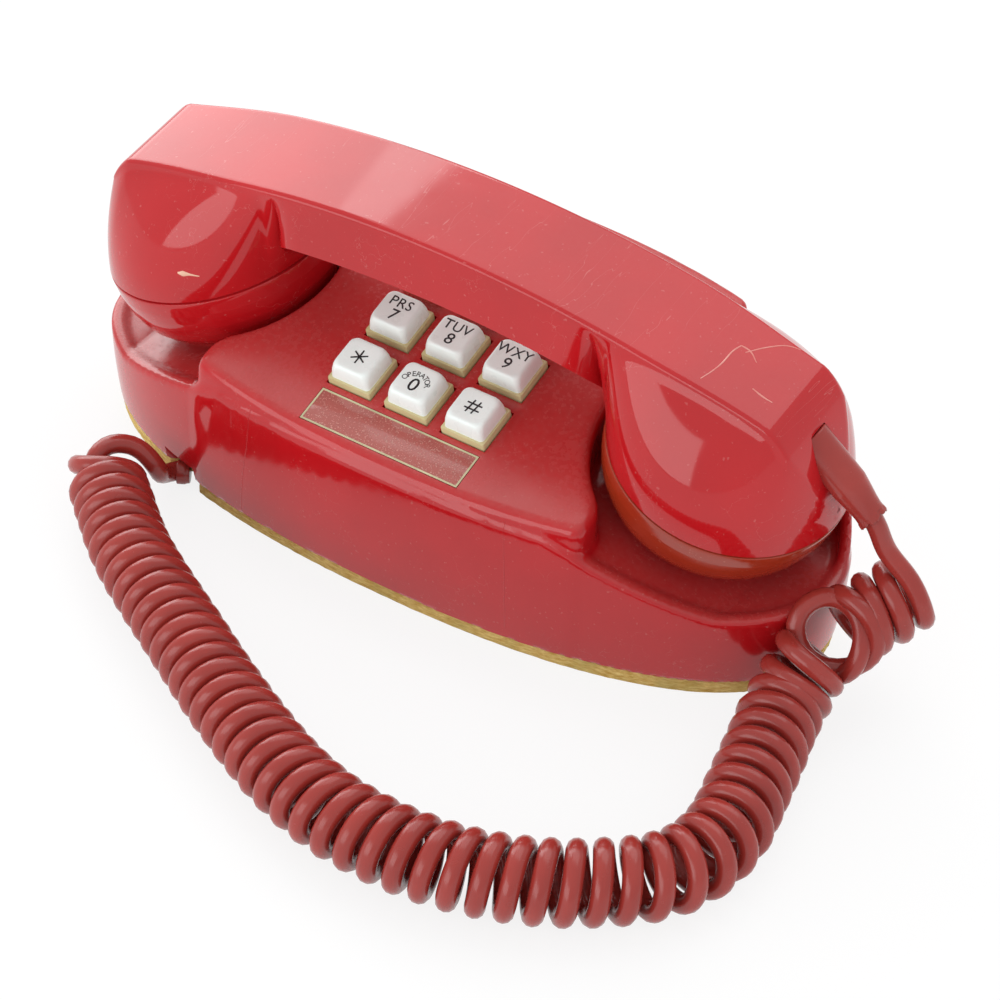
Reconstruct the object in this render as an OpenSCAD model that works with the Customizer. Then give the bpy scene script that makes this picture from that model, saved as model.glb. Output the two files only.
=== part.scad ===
// Push-button desk telephone with an oval base and a curly handset cord.
// Origin: floor centre of the base. +X is the user's right, the front faces -Y, +Z is up.

/* [Base] */
// Half length of the base at the floor
base_half_len = 108.9; // [106:0.1:114]
// Half depth of the base at the floor
base_half_wid = 44.7; // [43:0.1:48]
// Squareness of the oval, 2 is an ellipse
base_power = 2.26; // [2.1:0.01:2.6]
// Outward lean of the wall for each millimetre of height
wall_lean = 0.045; // [0.02:0.005:0.06]
// Thickness of the moulded walls
wall = 2.6; // [2:0.1:3]
// Thickness of the fibre pad under the base
pad_h = 4.3; // [3:0.1:5]
// Thickness of the steel base plate
plate_t = 1.2; // [0.8:0.1:1.6]

/* [Raised middle] */
// Half length of the raised middle at the front wall
mound_half = 59.5; // [57:0.5:62]
// Distance of the sloping face below the tops of the key skirts
face_below = 2; // [1.5:0.1:2.5]

/* [Cradle] */
// Gap between a cap and the round side of the raised middle
well_gap = 2.6; // [1.5:0.1:4]
// Height of the rim where it meets the raised middle
rim_in_z = 37.6; // [36:0.1:39]
// Height of the low rim at the ends
rim_low_z = 26; // [25:0.1:27]
// Distance from the middle at which the rim becomes level
rim_level_x = 92; // [88:0.5:96]
// Height of the rim at the back
rim_back_z = 58; // [50:1:62]
// Height of the small lip along the rim
lip_h = 1.2; // [0.6:0.1:1.5]
// Outer radius of the ring that a cap rests on
seat_r = 20; // [18:0.5:21]
// Width of that ring
seat_w = 3; // [2:0.1:4]

/* [Keys] */
// Distance between neighbouring keys
key_pitch = 17.46; // [16.8:0.02:18]
// Slope of the key field
key_tilt = 15.6; // [14:0.1:17]
// Distance of the middle bottom key in front of the centre
key_front = 24.3; // [23:0.1:26]
// Height of the top of that key's skirt
key_z = 53.1; // [51:0.1:55]
// Width of a key skirt
skirt_w = 13.1; // [12:0.1:13.5]
// Height of a key skirt
skirt_h = 6.2; // [5.5:0.1:7]
// Width of a key cap at its foot
cap_foot = 11.9; // [11:0.1:12.3]
// Width of a key cap at its top
cap_top = 10.2; // [9:0.1:11]
// Height of a key cap
cap_h = 4.8; // [4:0.1:6]
// Travel of a key
key_travel = 3; // [2:0.1:3.4]
// Gap round a key skirt
key_gap = 0.4; // [0.3:0.05:0.6]
// Width of a key stem
stem_w = 4; // [3:0.1:5]

/* [Number card] */
// Length of the card window
window_len = 48; // [44:0.5:52]
// Height of the card window
window_wid = 10.7; // [9:0.1:11]
// Thickness of the clear window
window_t = 0.9; // [0.6:0.1:1.2]
// Thickness of the card
card_t = 0.3; // [0.2:0.1:0.4]

/* [Handset] */
// Height of the handle's top facet at the middle
hs_top = 100.2; // [97:0.1:103]
// Radius of the bow of the handle
hs_bow = 300; // [260:5:360]
// Half width of the top facet
facet_half = 15.6; // [13:0.1:17]
// Distance from the middle to the end of the top facet
facet_end = 95.9; // [93:0.1:98]
// Height of the handle's sides
side_h = 17; // [15:0.5:19]
// Drop of the rounded underside below the sides
belly = 4.5; // [3:0.5:6]
// Distance from the middle to a cap's centre
cup_x = 78.65; // [77:0.05:80]
// Height of a cap's centre at the joint with the handle
cup_z = 57.2; // [56:0.1:59]
// Radius of a cap at that joint
cup_r = 32.1; // [31.5:0.1:32.5]
// Tilt of the caps towards each other
cup_tilt = 16.3; // [15:0.1:17.5]
// Wall of the handle and the caps
hs_wall = 2.6; // [2:0.1:3]
// Depth of a cap
cap_depth = 21; // [19:0.5:22]
// Lean of the handset towards the front
hs_lean = 6.9; // [6:0.1:8]

/* [Hook switch] */
// Radius of a plunger
plunger_r = 4; // [3:0.1:4.5]
// Rise of a plunger
plunger_rise = 3.5; // [2.5:0.1:3.8]
// Distance of a plunger from the middle of the base
plunger_x = 72; // [70:0.5:74]
// Distance of a plunger behind the centre line
plunger_y = 12; // [10:0.5:13]
// Radius of the lever rod
rod_r = 1.6; // [1.2:0.1:2]
// Distance of the lever rod behind the centre line
rod_y = 27; // [25.5:0.5:28]
// Height of the lever rod
rod_z = 16; // [14:0.5:17]

/* [Ringer] */
// Radius of the gong
gong_r = 17; // [15:0.5:18]
// Height of the gong
gong_h = 10.5; // [9:0.5:12]
// Radius of the coil
coil_r = 6.5; // [5.5:0.1:6.8]
// Radius of the clapper's ball
ball_r = 1.6; // [1.2:0.1:1.8]

/* [Cord] */
// Diameter of the wire
wire_d = 5.2; // [4.8:0.1:5.6]
// Outer diameter of the curly stretch
curl_d = 21.5; // [20:0.5:22]
// Length of the tapered strain relief
boot_len = 21; // [17:0.5:22]
// Radius of the strain relief at the handset
boot_r = 4.9; // [4.4:0.1:5.2]

/* [Hidden] */

$fn = 48;
fit = 0.05;             // running fit on a radius
clear = 0.3;            // clearance between pieces that do not touch
sides = 88;             // straight facets round the base outline
high = 130;             // taller than anything in the base
wide = 260;             // wider than anything in the base
inner_inset = 3;        // inset of the well's outer wall from the skin
plate_top = pad_h + plate_t;
screw_in = [11.9, 8.7];  // how far inside the outline the screws stand
screw_x = base_half_len - screw_in.x;
screw_y = base_half_wid - screw_in.y;
screw_spots = [[screw_x, 0], [-screw_x, 0], [0, screw_y], [0, -screw_y]];
boss_r = 4;
boss_top = 21;
screw_r = 1.9;
head_r = 3.8;
head_h = 2;
red = "#b3161d";
red_cap = "#a83a22";

// ---- base outline -------------------------------------------------------------------------

function spow(c, p) = sign(c) * pow(abs(c), p);
function oval_point(t, a, b) =
    [a * spow(cos(t), 2 / base_power), b * spow(sin(t), 2 / base_power)];
lean_stop = 45;         // the wall stands upright above this height
function lean_at(z) = wall_lean * (min(z, lean_stop) - pad_h);
function oval(grow, z) = [
    for (i = [0 : sides - 1])
        let (g = grow + lean_at(z),
            p = oval_point(i * 360 / sides, base_half_len + g, base_half_wid + g)) [p.x, p.y, z]];
function edge_y(x, grow) =
    (base_half_wid + grow) * pow(1 - pow(abs(x) / (base_half_len + grow), base_power), 1 / base_power);

module stack(rings, n) {
    last = (len(rings) - 1) * n;
    pts = [for (r = rings) each r];
    polyhedron(pts, concat(
        [[for (i = [0 : n - 1]) i]],
        [[for (i = [n - 1 : -1 : 0]) last + i]],
        [for (k = [0 : len(rings) - 2], i = [0 : n - 1], h = [0, 1])
            let (a = k * n + i, b = k * n + (i + 1) % n)
                h == 0 ? [a, a + n, b + n] : [a, b + n, b]]));
}

// leaning oval skin between two heights
module skin(grow, z0, z1) {
    stack([for (z = z1 > lean_stop ? [z0, lean_stop, z1] : [z0, z1]) oval(grow, z)], sides);
}

// ---- sloping key field --------------------------------------------------------------------

key_names = ["1", "2", "3", "4", "5", "6", "7", "8", "9", "star", "0", "hash"];
function key_u(i) = (i % 3 - 1) * key_pitch;
function key_v(i) = (3 - floor(i / 3)) * key_pitch;
function slope_z(y, w) = key_z + (y + key_front) * tan(key_tilt) + w / cos(key_tilt);
face_in = -face_below - wall;               // inner side of the sloping face
flange_t = 1.2;
flange_w = 15.8;
frame_top = -skirt_h - key_travel - clear;  // guide frame under the keys
frame_t = 4.5;
stem_end = frame_top - frame_t - 1;
board_gap = key_travel + 1.2;
board_top = stem_end - board_gap;
board_t = 1.6;
frame_half = key_pitch + flange_w / 2 + 4.64;
frame_room = [11.25, 9.4];      // from the outline to the frame, in front and behind
frame_v0 = (key_front - base_half_wid + frame_room[0]) / cos(key_tilt);
frame_v1 = (key_front + base_half_wid - frame_room[1]) / cos(key_tilt);

module on_slope() {
    translate([0, -key_front, key_z]) rotate([key_tilt, 0, 0]) children();
}

module slope_box(u, v0, v1, w0, w1) {
    on_slope() translate([-u, v0, w0]) cube([2 * u, v1 - v0, w1 - w0]);
}

module at_key(i) {
    on_slope() translate([key_u(i), key_v(i), 0]) children();
}

module square_post(w, w0, w1) {
    translate([-w / 2, -w / 2, w0]) cube([w, w, w1 - w0]);
}

window_v = -14.2;       // middle of the card window below the bottom keys

// ---- handset frame ------------------------------------------------------------------------

hs_y = 5.4;
hs_z = 0.1;
function hs(p) = [p.x, hs_y + cos(hs_lean) * p.y - sin(hs_lean) * p.z,
                  hs_z + sin(hs_lean) * p.y + cos(hs_lean) * p.z];
module in_handset() {
    translate([0, hs_y, hs_z]) rotate([hs_lean, 0, 0]) children();
}

// children drawn along a cap's axis, +Z out of the cap, 0 at the joint with the handle
module at_cup(side) {
    in_handset() translate([side * cup_x, 0, cup_z]) rotate([0, 180 + side * cup_tilt, 0]) children();
}

well_c = hs([cup_x, 0, cup_z]);

// ---- cradle wells -------------------------------------------------------------------------

ledge_slope = (rim_in_z - rim_low_z) / (rim_level_x - mound_half);
function ledge_z(x) = x > rim_level_x ? rim_low_z : rim_low_z + (rim_level_x - x) * ledge_slope;
function smooth(t) = let (c = min(1, max(0, t))) c * c * (3 - 2 * c);
function rise_z(y) = rim_low_z + (rim_back_z - rim_low_z) * smooth((y - 2) / 36);
rise_steps = [for (y = [2 : 4 : 38]) y];
ledge_start = 38;

module well_zone(e) {
    translate([well_c.x, well_c.y, 0]) cylinder(r = cup_r + well_gap + e, h = high, $fn = 96);
    translate([mound_half - e, -70, 0]) cube([80, 140, high]);
}

module above_ledge(drop) {
    rotate([90, 0, 0]) linear_extrude(height = 160, center = true) polygon([
        [ledge_start, ledge_z(ledge_start) - drop], [rim_level_x, rim_low_z - drop],
        [140, rim_low_z - drop], [140, high], [ledge_start, high]]);
}

module above_rise(drop) {
    rotate([90, 0, 90]) linear_extrude(height = 150) polygon(concat(
        [[-80, rim_low_z - 0.01 - drop]], [for (y = rise_steps) [y, rise_z(y) - 0.01 - drop]],
        [[80, rim_back_z - drop], [80, high], [-80, high]]));
}

module well(e) {
    intersection() {
        well_zone(e);
        above_ledge(e);
        above_rise(e);
    }
    intersection() {
        well_zone(e);
        above_ledge(lip_h + e);
        skin(e - inner_inset, 10, high);
    }
}

module both_ends() {
    children();
    mirror([1, 0, 0]) children();
}

module cap_sweep() {
    translate([well_c.x, well_c.y, 42]) cylinder(r = cup_r + 1, h = high, $fn = 96);
}

// ---- base casing --------------------------------------------------------------------------

inlet_c = [-67, -38, 3.4];      // where the handset cord goes under the wall
inlet_turn = 150;               // its direction out of the base, from +X towards -Y
inlet_w = 9;
inlet_h = 8.4;
line_c = [34, 0, 11.5];         // where the line cord comes in at the back

module at_inlet() {
    translate(inlet_c) rotate([0, 0, -inlet_turn]) children();
}

module boss(p) {
    translate([p.x, p.y, plate_top]) cylinder(r = boss_r, h = boss_top - plate_top);
}

web_x = screw_in.x - 1.4;     // webs run from the bosses into the wall
web_y = screw_in.y - 1.7;
module boss_webs() {
    for (s = [-1, 1]) translate([-1, s > 0 ? screw_y : -screw_y - web_y, 8])
        cube([2, web_y, boss_top - 8]);
    for (s = [-1, 1]) translate([s > 0 ? screw_x : -screw_x - web_x, -1, 8])
        cube([web_x, 2, boss_top - 8]);
}

module housing() {
    color(red) difference() {
        union() {
            difference() {
                intersection() {
                    skin(0, pad_h, high);
                    slope_box(wide, -wide, wide, -wide, -face_below);
                }
                both_ends() well(0);
                both_ends() cap_sweep();
                difference() {
                    intersection() {
                        skin(-wall, 0, high);
                        slope_box(wide, -wide, wide, -wide, face_in);
                    }
                    both_ends() well(wall);
                }
            }
            for (s = [-1, 1]) intersection() {
                at_cup(s) translate([0, 0, cap_depth + clear])
                    cylinder(r = seat_r, h = 8, $fn = 64);
                skin(-wall / 2, 10, high);
            }
            for (p = screw_spots) boss(p);
            boss_webs();
        }
        for (s = [-1, 1]) at_cup(s)
            cylinder(r = seat_r - seat_w, h = cap_depth + clear + 1.5, $fn = 64);
        for (s = [-1, 1]) translate([s * plunger_x, plunger_y, 5])
            cylinder(r = plunger_r + fit, h = high);
        for (i = [0 : 11]) at_key(i) square_post(skirt_w + 2 * key_gap, -9, 5);
        slope_box(window_len / 2 + 0.2, window_v - window_wid / 2 - 0.2,
            window_v + window_wid / 2 + 0.2, -face_below - window_t - card_t, 2);
        for (p = screw_spots) translate([p.x, p.y, 0]) cylinder(r = screw_r + fit, h = 16);
        at_inlet() translate([-8, -inlet_w / 2, -4]) cube([20, inlet_w, inlet_h - inlet_c.z + 4]);
        translate([line_c.x, 30, line_c.z]) rotate([-90, 0, 0]) cylinder(r = 4.5, h = 20);
    }
}

module base_plate() {
    color("#8f948c") difference() {
        skin(-inner_inset - clear, pad_h, plate_top);
        for (p = screw_spots) translate([p.x, p.y, 0]) cylinder(r = screw_r + 0.3, h = 10);
        at_inlet() translate([-8, -inlet_w / 2, -4]) cube([20, inlet_w, 10]);
    }
}

module base_pad() {
    color("#cfb465") difference() {
        linear_extrude(height = pad_h) polygon([for (p = oval(0, pad_h)) [p.x, p.y]]);
        for (p = screw_spots) translate([p.x, p.y, -1]) cylinder(r = head_r + 0.4, h = 10);
        at_inlet() translate([-8, -inlet_w / 2, -5]) cube([20, inlet_w, 10]);
    }
}

module housing_screws() {
    color("silver") for (p = screw_spots) translate([p.x, p.y, 0]) {
        translate([0, 0, pad_h - head_h]) cylinder(r = head_r, h = head_h);
        translate([0, 0, pad_h]) cylinder(r = screw_r, h = 11);
    }
}

module number_window() {
    color("#dfe6dc", 0.5) slope_box(window_len / 2, window_v - window_wid / 2,
        window_v + window_wid / 2, -face_below - window_t, -face_below);
}

module number_card() {
    color("#c7bd9c") slope_box(window_len / 2 - 1, window_v - window_wid / 2 + 1,
        window_v + window_wid / 2 - 1, -face_below - window_t - card_t, -face_below - window_t);
}

// ---- keys and what carries them -----------------------------------------------------------

module rounded_slab(w, r, w0, t) {
    translate([0, 0, w0]) linear_extrude(height = t) hull() {
        for (x = [-1, 1], y = [-1, 1]) translate([x, y] * (w / 2 - r)) circle(r = r, $fn = 24);
    }
}

module key_cap(i) {
    color("#f0f0f2") at_key(i) hull() {
        rounded_slab(cap_foot, 1.2, 0, 1);
        rounded_slab(cap_top + 1, 1.6, cap_h - 1.2, 0.1);
        rounded_slab(cap_top, 1.8, cap_h - 0.1, 0.1);
    }
}

module key_skirt(i) {
    color("#e9e3bd") at_key(i) {
        square_post(skirt_w, -skirt_h, 0);
        square_post(flange_w, -skirt_h, -skirt_h + flange_t);
        square_post(stem_w, stem_end, -skirt_h);
    }
}

module keypad_frame() {
    color("#3b3b3d") difference() {
        union() {
            slope_box(frame_half, frame_v0, frame_v1, frame_top - frame_t, frame_top);
            for (s = [-1, 1]) on_slope() translate([s * (frame_half - 1.5) - 1.5, frame_v0, frame_top])
                cube([3, frame_v1 - frame_v0, face_in - frame_top]);
        }
        for (i = [0 : 11]) at_key(i) square_post(stem_w + 2 * clear, -high, 5);
    }
}

module keypad_board() {
    color("#5b7a4a") slope_box(frame_half, frame_v0, frame_v1, board_top - board_t, board_top);
}

module contact_leaves() {
    color("#c9a24a") for (i = [0 : 11]) at_key(i) {
        translate([-1.5, 2.4, board_top]) cube([3, 3, board_gap - key_travel - 0.6]);
        translate([-1.5, -4, board_top + board_gap - key_travel - 0.6]) cube([3, 9.4, 0.3]);
    }
}

leg_in = frame_half + clear;
leg_t = 1.2;
post_in = frame_half - 4;       // inner side of the posts between the board and the frame

module keypad_bracket() {
    color("#9aa0a3") for (s = [-1, 1]) {
        translate([s > 0 ? leg_in : -leg_in - leg_t, 0, 0]) rotate([90, 0, 90])
            linear_extrude(height = leg_t) polygon([[-18, plate_top], [22, plate_top],
                [28, slope_z(28, frame_top - 1)], [-22, slope_z(-22, frame_top - 1)]]);
        translate([s > 0 ? leg_in : -leg_in - 8, 9, plate_top]) cube([8, 12, leg_t]);
    }
    color("#9aa0a3") for (v = [2, 50], s = [-1, 1]) on_slope()
        translate([s > 0 ? post_in : -leg_in - leg_t, v, board_top])
        cube([leg_in + leg_t - post_in, 3, frame_top - frame_t - board_top]);
}

block_half = leg_in - 1.3;
block_top = 29;

module network_block() {
    color("#4a4038") difference() {
        translate([-block_half, -14, plate_top]) cube([2 * block_half, 37, block_top - plate_top]);
        for (k = [0 : 5]) translate([-24 + k * 9.6, -9, block_top - 6]) cylinder(r = 1.5 + fit, h = 8);
        for (k = [0 : 5]) translate([-24 + k * 9.6, 18, block_top - 6]) cylinder(r = 1.5 + fit, h = 8);
    }
}

module terminal_screws() {
    color("#c8b27a") for (k = [0 : 5], y = [-9, 18]) translate([-24 + k * 9.6, y, block_top]) {
        translate([0, 0, -5]) cylinder(r = 1.5, h = 5);
        cylinder(r = 3, h = 1.8);
    }
}

// ---- hook switch --------------------------------------------------------------------------

bearing_x = 58;
arm_t = 1.6;
switch_x = -46;

// height of a cap's flat face above a spot in the well
function cap_face_z(p) =
    let (c = hs([cup_x - sin(cup_tilt) * cap_depth, 0, cup_z - cos(cup_tilt) * cap_depth]))
        c.z - (p.x - c.x) * tan(cup_tilt) + (p.y - c.y) * tan(hs_lean);
plunger_top = cap_face_z([plunger_x, plunger_y]) - 1.4;
plunger_foot = ledge_z(plunger_x) - lip_h - wall - 5 - plunger_rise;
pin_foot = rod_z + arm_t / 2 + 0.4;

module plunger(side) {
    color("#e8e4d8") translate([side * plunger_x, plunger_y, 0]) {
        translate([0, 0, plunger_foot]) cylinder(r = plunger_r, h = plunger_top - plunger_foot);
        translate([0, 0, plunger_foot]) cylinder(r = plunger_r + 1.4, h = 1.8);
        translate([0, 0, pin_foot]) cylinder(r = 0.9, h = plunger_foot - pin_foot);
    }
}

module hook_lever() {
    color("silver") {
        translate([-plunger_x - 3, rod_y, rod_z]) rotate([0, 90, 0])
            cylinder(r = rod_r, h = 2 * plunger_x + 6);
        for (s = [-1, 1]) translate([s * plunger_x - 2.5, plunger_y - 2, rod_z - arm_t / 2])
            cube([5, rod_y - plunger_y + 2, arm_t]);
        translate([switch_x - 2.5, 14, rod_z - arm_t / 2]) cube([5, rod_y - 14, arm_t]);
    }
}

module lever_bearings() {
    color("#9aa0a3") for (s = [-1, 1]) difference() {
        union() {
            translate([s * bearing_x - 1, rod_y - 4, plate_top])
                cube([2, 8, rod_z + 4 - plate_top]);
            translate([s > 0 ? bearing_x - 8 : -bearing_x, rod_y - 4, plate_top]) cube([8, 8, 1.5]);
        }
        translate([-100, rod_y, rod_z]) rotate([0, 90, 0]) cylinder(r = rod_r + fit, h = 200);
    }
}

module hook_switch_block() {
    color("#6b4a2e") translate([switch_x - 6, 0, plate_top]) cube([12, 7, 22]);
}

module hook_switch_springs() {
    color("#c9a24a") for (k = [0 : 2])
        translate([switch_x - 3, 7, 20.6 + 2.2 * k]) cube([6, 12, 0.4]);
}

// ---- ringer -------------------------------------------------------------------------------

ringer_x = leg_in + leg_t + 0.7;    // where the ringer starts beside the bracket
gong_c = [ringer_x + 35.8, -10];
coil_c = [ringer_x + 6.4, -10, 15.5];
pin_c = [ringer_x + 12.4, 4.6];
ball_c = [ringer_x + 16.4, -10];
gong_z = 9;
post_r = 3.6;
post_top = gong_z + gong_h - 1.5;

module ringer_frame() {
    color("#9aa0a3") difference() {
        union() {
            translate([ringer_x, -20, plate_top]) cube([40, 28, 1.8]);
            translate([gong_c.x, gong_c.y, plate_top]) cylinder(r = post_r, h = post_top - plate_top);
            for (y = [-20, -1.5]) translate([coil_c.x - 5, y, plate_top]) cube([10, 1.5, 13]);
            translate([pin_c.x, pin_c.y, plate_top]) cylinder(r = 1.2, h = 9.5);
        }
        translate([gong_c.x, gong_c.y, post_top - 9]) cylinder(r = 2 + fit, h = 20);
    }
}

module ringer_coil() {
    color("#7d3b1e") translate(coil_c + [0, 8.5, 0]) rotate([90, 0, 0]) {
        cylinder(r = coil_r - 0.8, h = 17);
        for (h = [0, 15.5]) translate([0, 0, h]) cylinder(r = coil_r, h = 1.5);
    }
}

module ringer_gong() {
    color("#b9bcc0") translate([gong_c.x, gong_c.y, gong_z]) rotate_extrude($fn = 72) polygon([
        [2 + fit, gong_h - 1.5], [post_r + 0.4, gong_h - 1.5], [gong_r * 0.62, gong_h - 2.6],
        [gong_r - 2.4, gong_h * 0.45],
        [gong_r - 1.5, 0], [gong_r, 0], [gong_r - 1, gong_h * 0.5], [gong_r * 0.68, gong_h - 1.2],
        [2 + fit, gong_h]]);
}

module gong_screw() {
    color("silver") translate([gong_c.x, gong_c.y, gong_z + gong_h]) {
        cylinder(r = 3.4, h = 1.6);
        translate([0, 0, -9]) cylinder(r = 2, h = 9);
    }
}

module clapper() {
    arm_z = plate_top + 6.2;
    reach = norm([ball_c.x - pin_c.x, ball_c.y - pin_c.y]);
    color("silver") difference() {
        union() {
            translate([pin_c.x, pin_c.y, arm_z - 1.5]) cylinder(r = 2.4, h = 3.6);
            translate([pin_c.x, pin_c.y, arm_z])
                rotate([0, 0, atan2(ball_c.y - pin_c.y, ball_c.x - pin_c.x)])
                translate([0, -0.6, -0.4]) cube([reach, 1.2, 1.2]);
            translate([ball_c.x, ball_c.y, arm_z + 0.2]) sphere(r = ball_r);
        }
        translate([pin_c.x, pin_c.y, 0]) cylinder(r = 1.2 + fit, h = 30);
    }
}

// ---- lamp and inlets ----------------------------------------------------------------------

lamp_c = [16, 12.7 - base_half_wid];

module lamp_socket() {
    color("#9aa0a3") translate([lamp_c.x, lamp_c.y, plate_top]) difference() {
        cylinder(r = 5, h = 10);
        translate([0, 0, 3]) cylinder(r = 3.6 + fit, h = 10);
    }
}

module dial_lamp() {
    color("#f2ead0") translate([lamp_c.x, lamp_c.y, plate_top + 3]) {
        cylinder(r = 3.6, h = 9);
        translate([0, 0, 11]) sphere(r = 4);
    }
}

module line_inlet() {
    y_out = edge_y(line_c.x, lean_at(line_c.z));
    color("#2b2b2d") translate([line_c.x, y_out - 5.2, line_c.z]) rotate([-90, 0, 0]) difference() {
        union() {
            cylinder(r = 4.5 - fit, h = 6.4);
            cylinder(r = 5.2, h = 1.2);
        }
        translate([0, 0, -1]) cylinder(r = 2.6, h = 12);
    }
}

module cord_inlet() {
    color("#d8d6cc") difference() {
        at_inlet() translate([-6, -inlet_w / 2 + 0.2, 0.6 - inlet_c.z])
            cube([7, inlet_w - 0.4, inlet_h - 0.8]);
        at_inlet() rotate([0, 90, 0]) translate([0, 0, -20])
            cylinder(r = wire_d / 2 + 0.2, h = 19.9);
    }
}

// ---- handset ------------------------------------------------------------------------------

cup_cos = cos(cup_tilt);
edge_soft = 1.4;
arch_end = cup_x - cup_r * cup_cos;         // where the arch under the handle meets a cap
end_low = cup_z - cup_r * sin(cup_tilt);    // lowest point of the joint, at the outer end
end_x = cup_x + cup_r * cup_cos + 0.15;

function bow_z(x) = hs_top - hs_bow + sqrt(hs_bow * hs_bow - x * x);
function top_z(x) = x <= facet_end ? bow_z(x)
    : let (q = min(1, (x - facet_end) / (end_x - facet_end)))
        end_low + (bow_z(facet_end) - end_low) * pow(1 - pow(q, 1.5), 0.6);
function joint_z(x) = cup_z - (x - cup_x) * tan(cup_tilt);

// half outline of the handle across x, from the top edge down to the middle of the underside
side_steps = [0.9, 0.75, 0.6, 0.45, 0.3, 0.15];
function half_section(t_half, top, foot, foot_half, drop, p) = concat(
    [[t_half - edge_soft, top], [t_half, top - edge_soft]],
    [for (s = side_steps)
        [t_half + (foot_half - t_half) * (1 - pow(s, p)), foot + (top - edge_soft - foot) * s]],
    [[foot_half, foot], [foot_half * 0.8, foot - drop * 0.5], [foot_half * 0.45, foot - drop * 0.9]]);
function whole_section(x, h, foot, drop) = concat(
    [for (p = h) [x, p.x, p.y]], [[x, 0, foot - drop]],
    [for (i = [len(h) - 1 : -1 : 0]) [x, -h[i].x, h[i].y]]);
section_n = 2 * (len(side_steps) + 5) + 1;

// k drops the underside from the grip (0) towards the cap (1)
function handle_part(x, k) =
    let (top = bow_z(abs(x)), foot = top - side_h - k * arch_drop, drop = belly * (1 - k))
        whole_section(x, half_section(facet_half, top, foot, facet_half * (1 - 0.45 * k), drop, 1),
            foot, drop);
function cup_part(side, a) =
    let (ax = cup_x - cup_r * cup_cos * cos(a), chord = cup_r * sin(a), foot = joint_z(ax),
        most = facet_half - facet_narrow * smooth((ax - 60) / 36),
        half = ax < cup_x ? most : min(most, max(edge_soft + 0.2, chord * 0.68)),
        top = max(top_z(ax), foot + edge_soft + 0.6))
            whole_section(side * ax, half_section(half, top, foot, chord, 0, chord < half ? 0.45 : 2),
                foot, 0);

arch_drop = 12.2;       // fall of the underside from the grip to a cap
facet_narrow = 1.5;     // narrowing of the top facet towards its ends
cup_angles = [for (a = [5 : 8.5 : 175]) a];
grip_xs = [0, 10, 20, 30, 38, 42.5];
arch_ks = [[44.6, 0.08], [46, 0.25], [47, 0.5], [47.6, 0.85]];

function flip(v) = [for (i = [len(v) - 1 : -1 : 0]) v[i]];
handle_sections = concat(
    [for (a = flip(cup_angles)) cup_part(-1, a)],
    [for (q = flip(arch_ks)) handle_part(-q[0], q[1])],
    [for (i = [len(grip_xs) - 1 : -1 : 1]) handle_part(-grip_xs[i], 0)],
    [for (x = grip_xs) handle_part(x, 0)],
    [for (q = arch_ks) handle_part(q[0], q[1])],
    [for (a = cup_angles) cup_part(1, a)]);

bore_r = cup_r - hs_wall - 0.5;             // inside of a cup where the cap's sleeve sits
sleeve_l = 4;
cup_deep = 25;
cup_top_r = 13;
grip_hollow = 11;                           // half width of the channel through the grip
grip_reach = 72;

module handle_hollow() {
    for (s = [-1, 1]) at_cup(s) {
        translate([0, 0, -sleeve_l - 0.5]) cylinder(r = bore_r, h = sleeve_l + 4, $fn = 96);
        translate([0, 0, -cup_deep])
            cylinder(r1 = cup_top_r, r2 = bore_r, h = cup_deep - sleeve_l - 0.5, $fn = 96);
    }
    in_handset() rotate([90, 0, 0]) linear_extrude(height = 2 * grip_hollow, center = true)
        polygon(concat(
            [for (x = [-grip_reach : 12 : grip_reach]) [x, bow_z(x) - hs_wall]],
            [for (x = [grip_reach : -12 : -grip_reach]) [x, bow_z(x) - side_h]]));
}

boot_from = [104, 0, 70];
boot_down = 42;                 // slope of the strain relief below level
module at_boot() {
    in_handset() translate(boot_from) rotate([0, 90 + boot_down, 0]) children();
}

module handset_handle() {
    color(red) difference() {
        in_handset() stack(flip(handle_sections), section_n);
        handle_hollow();
        at_boot() translate([0, 0, -9]) cylinder(r = boot_r + fit, h = 20);
    }
}

// cap profile, radius against depth
module cap_shell() {
    rotate_extrude($fn = 96) polygon([
        [bore_r - clear, -sleeve_l], [bore_r - clear, 0.4], [cup_r, 0.4], [cup_r - 0.2, 5],
        [cup_r - 1.2, 10], [cup_r - 3.2, 15], [cup_r - 6.5, 18.5], [cup_r - 11, cap_depth],
        [0, cap_depth], [0, cap_depth - hs_wall], [cup_r - 11.5, cap_depth - hs_wall],
        [cup_r - 8, 15.5], [cup_r - 5, 10], [bore_r - 2.3, 5], [bore_r - 2.3, -sleeve_l]]);
}

module receiver_cap() {
    color(red) at_cup(-1) difference() {
        cap_shell();
        translate([0, 0, 15]) cylinder(r = 1, h = 10, $fn = 16);
        for (i = [0 : 5]) rotate([0, 0, i * 60]) translate([5, 0, 15]) cylinder(r = 1, h = 10, $fn = 16);
    }
}

module transmitter_cap() {
    color(red_cap) at_cup(1) difference() {
        cap_shell();
        for (n = [[6, 4.2], [12, 9]]) for (i = [0 : n[0] - 1])
            rotate([0, 0, i * 360 / n[0]]) translate([n[1], 0, 15]) cylinder(r = 1.1, h = 10, $fn = 16);
    }
}

module receiver_unit() {
    color("#b9bcc0") at_cup(-1) {
        translate([0, 0, 9]) cylinder(r = cup_r - 13.1, h = cap_depth - hs_wall - 9);
        translate([0, 0, 1]) cylinder(r = cup_r - 8.1, h = 8);
        translate([0, 0, -5]) cylinder(r = cup_r - 18.1, h = 6);
    }
}

module transmitter_unit() {
    color("#a9a294") at_cup(1) {
        translate([0, 0, 11]) cylinder(r = cup_r - 14.1, h = cap_depth - hs_wall - 11);
        translate([0, 0, 3]) cylinder(r = cup_r - 9.1, h = 8);
        translate([0, 0, -1]) cylinder(r = cup_r - 20.1, h = 4);
    }
}

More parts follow.
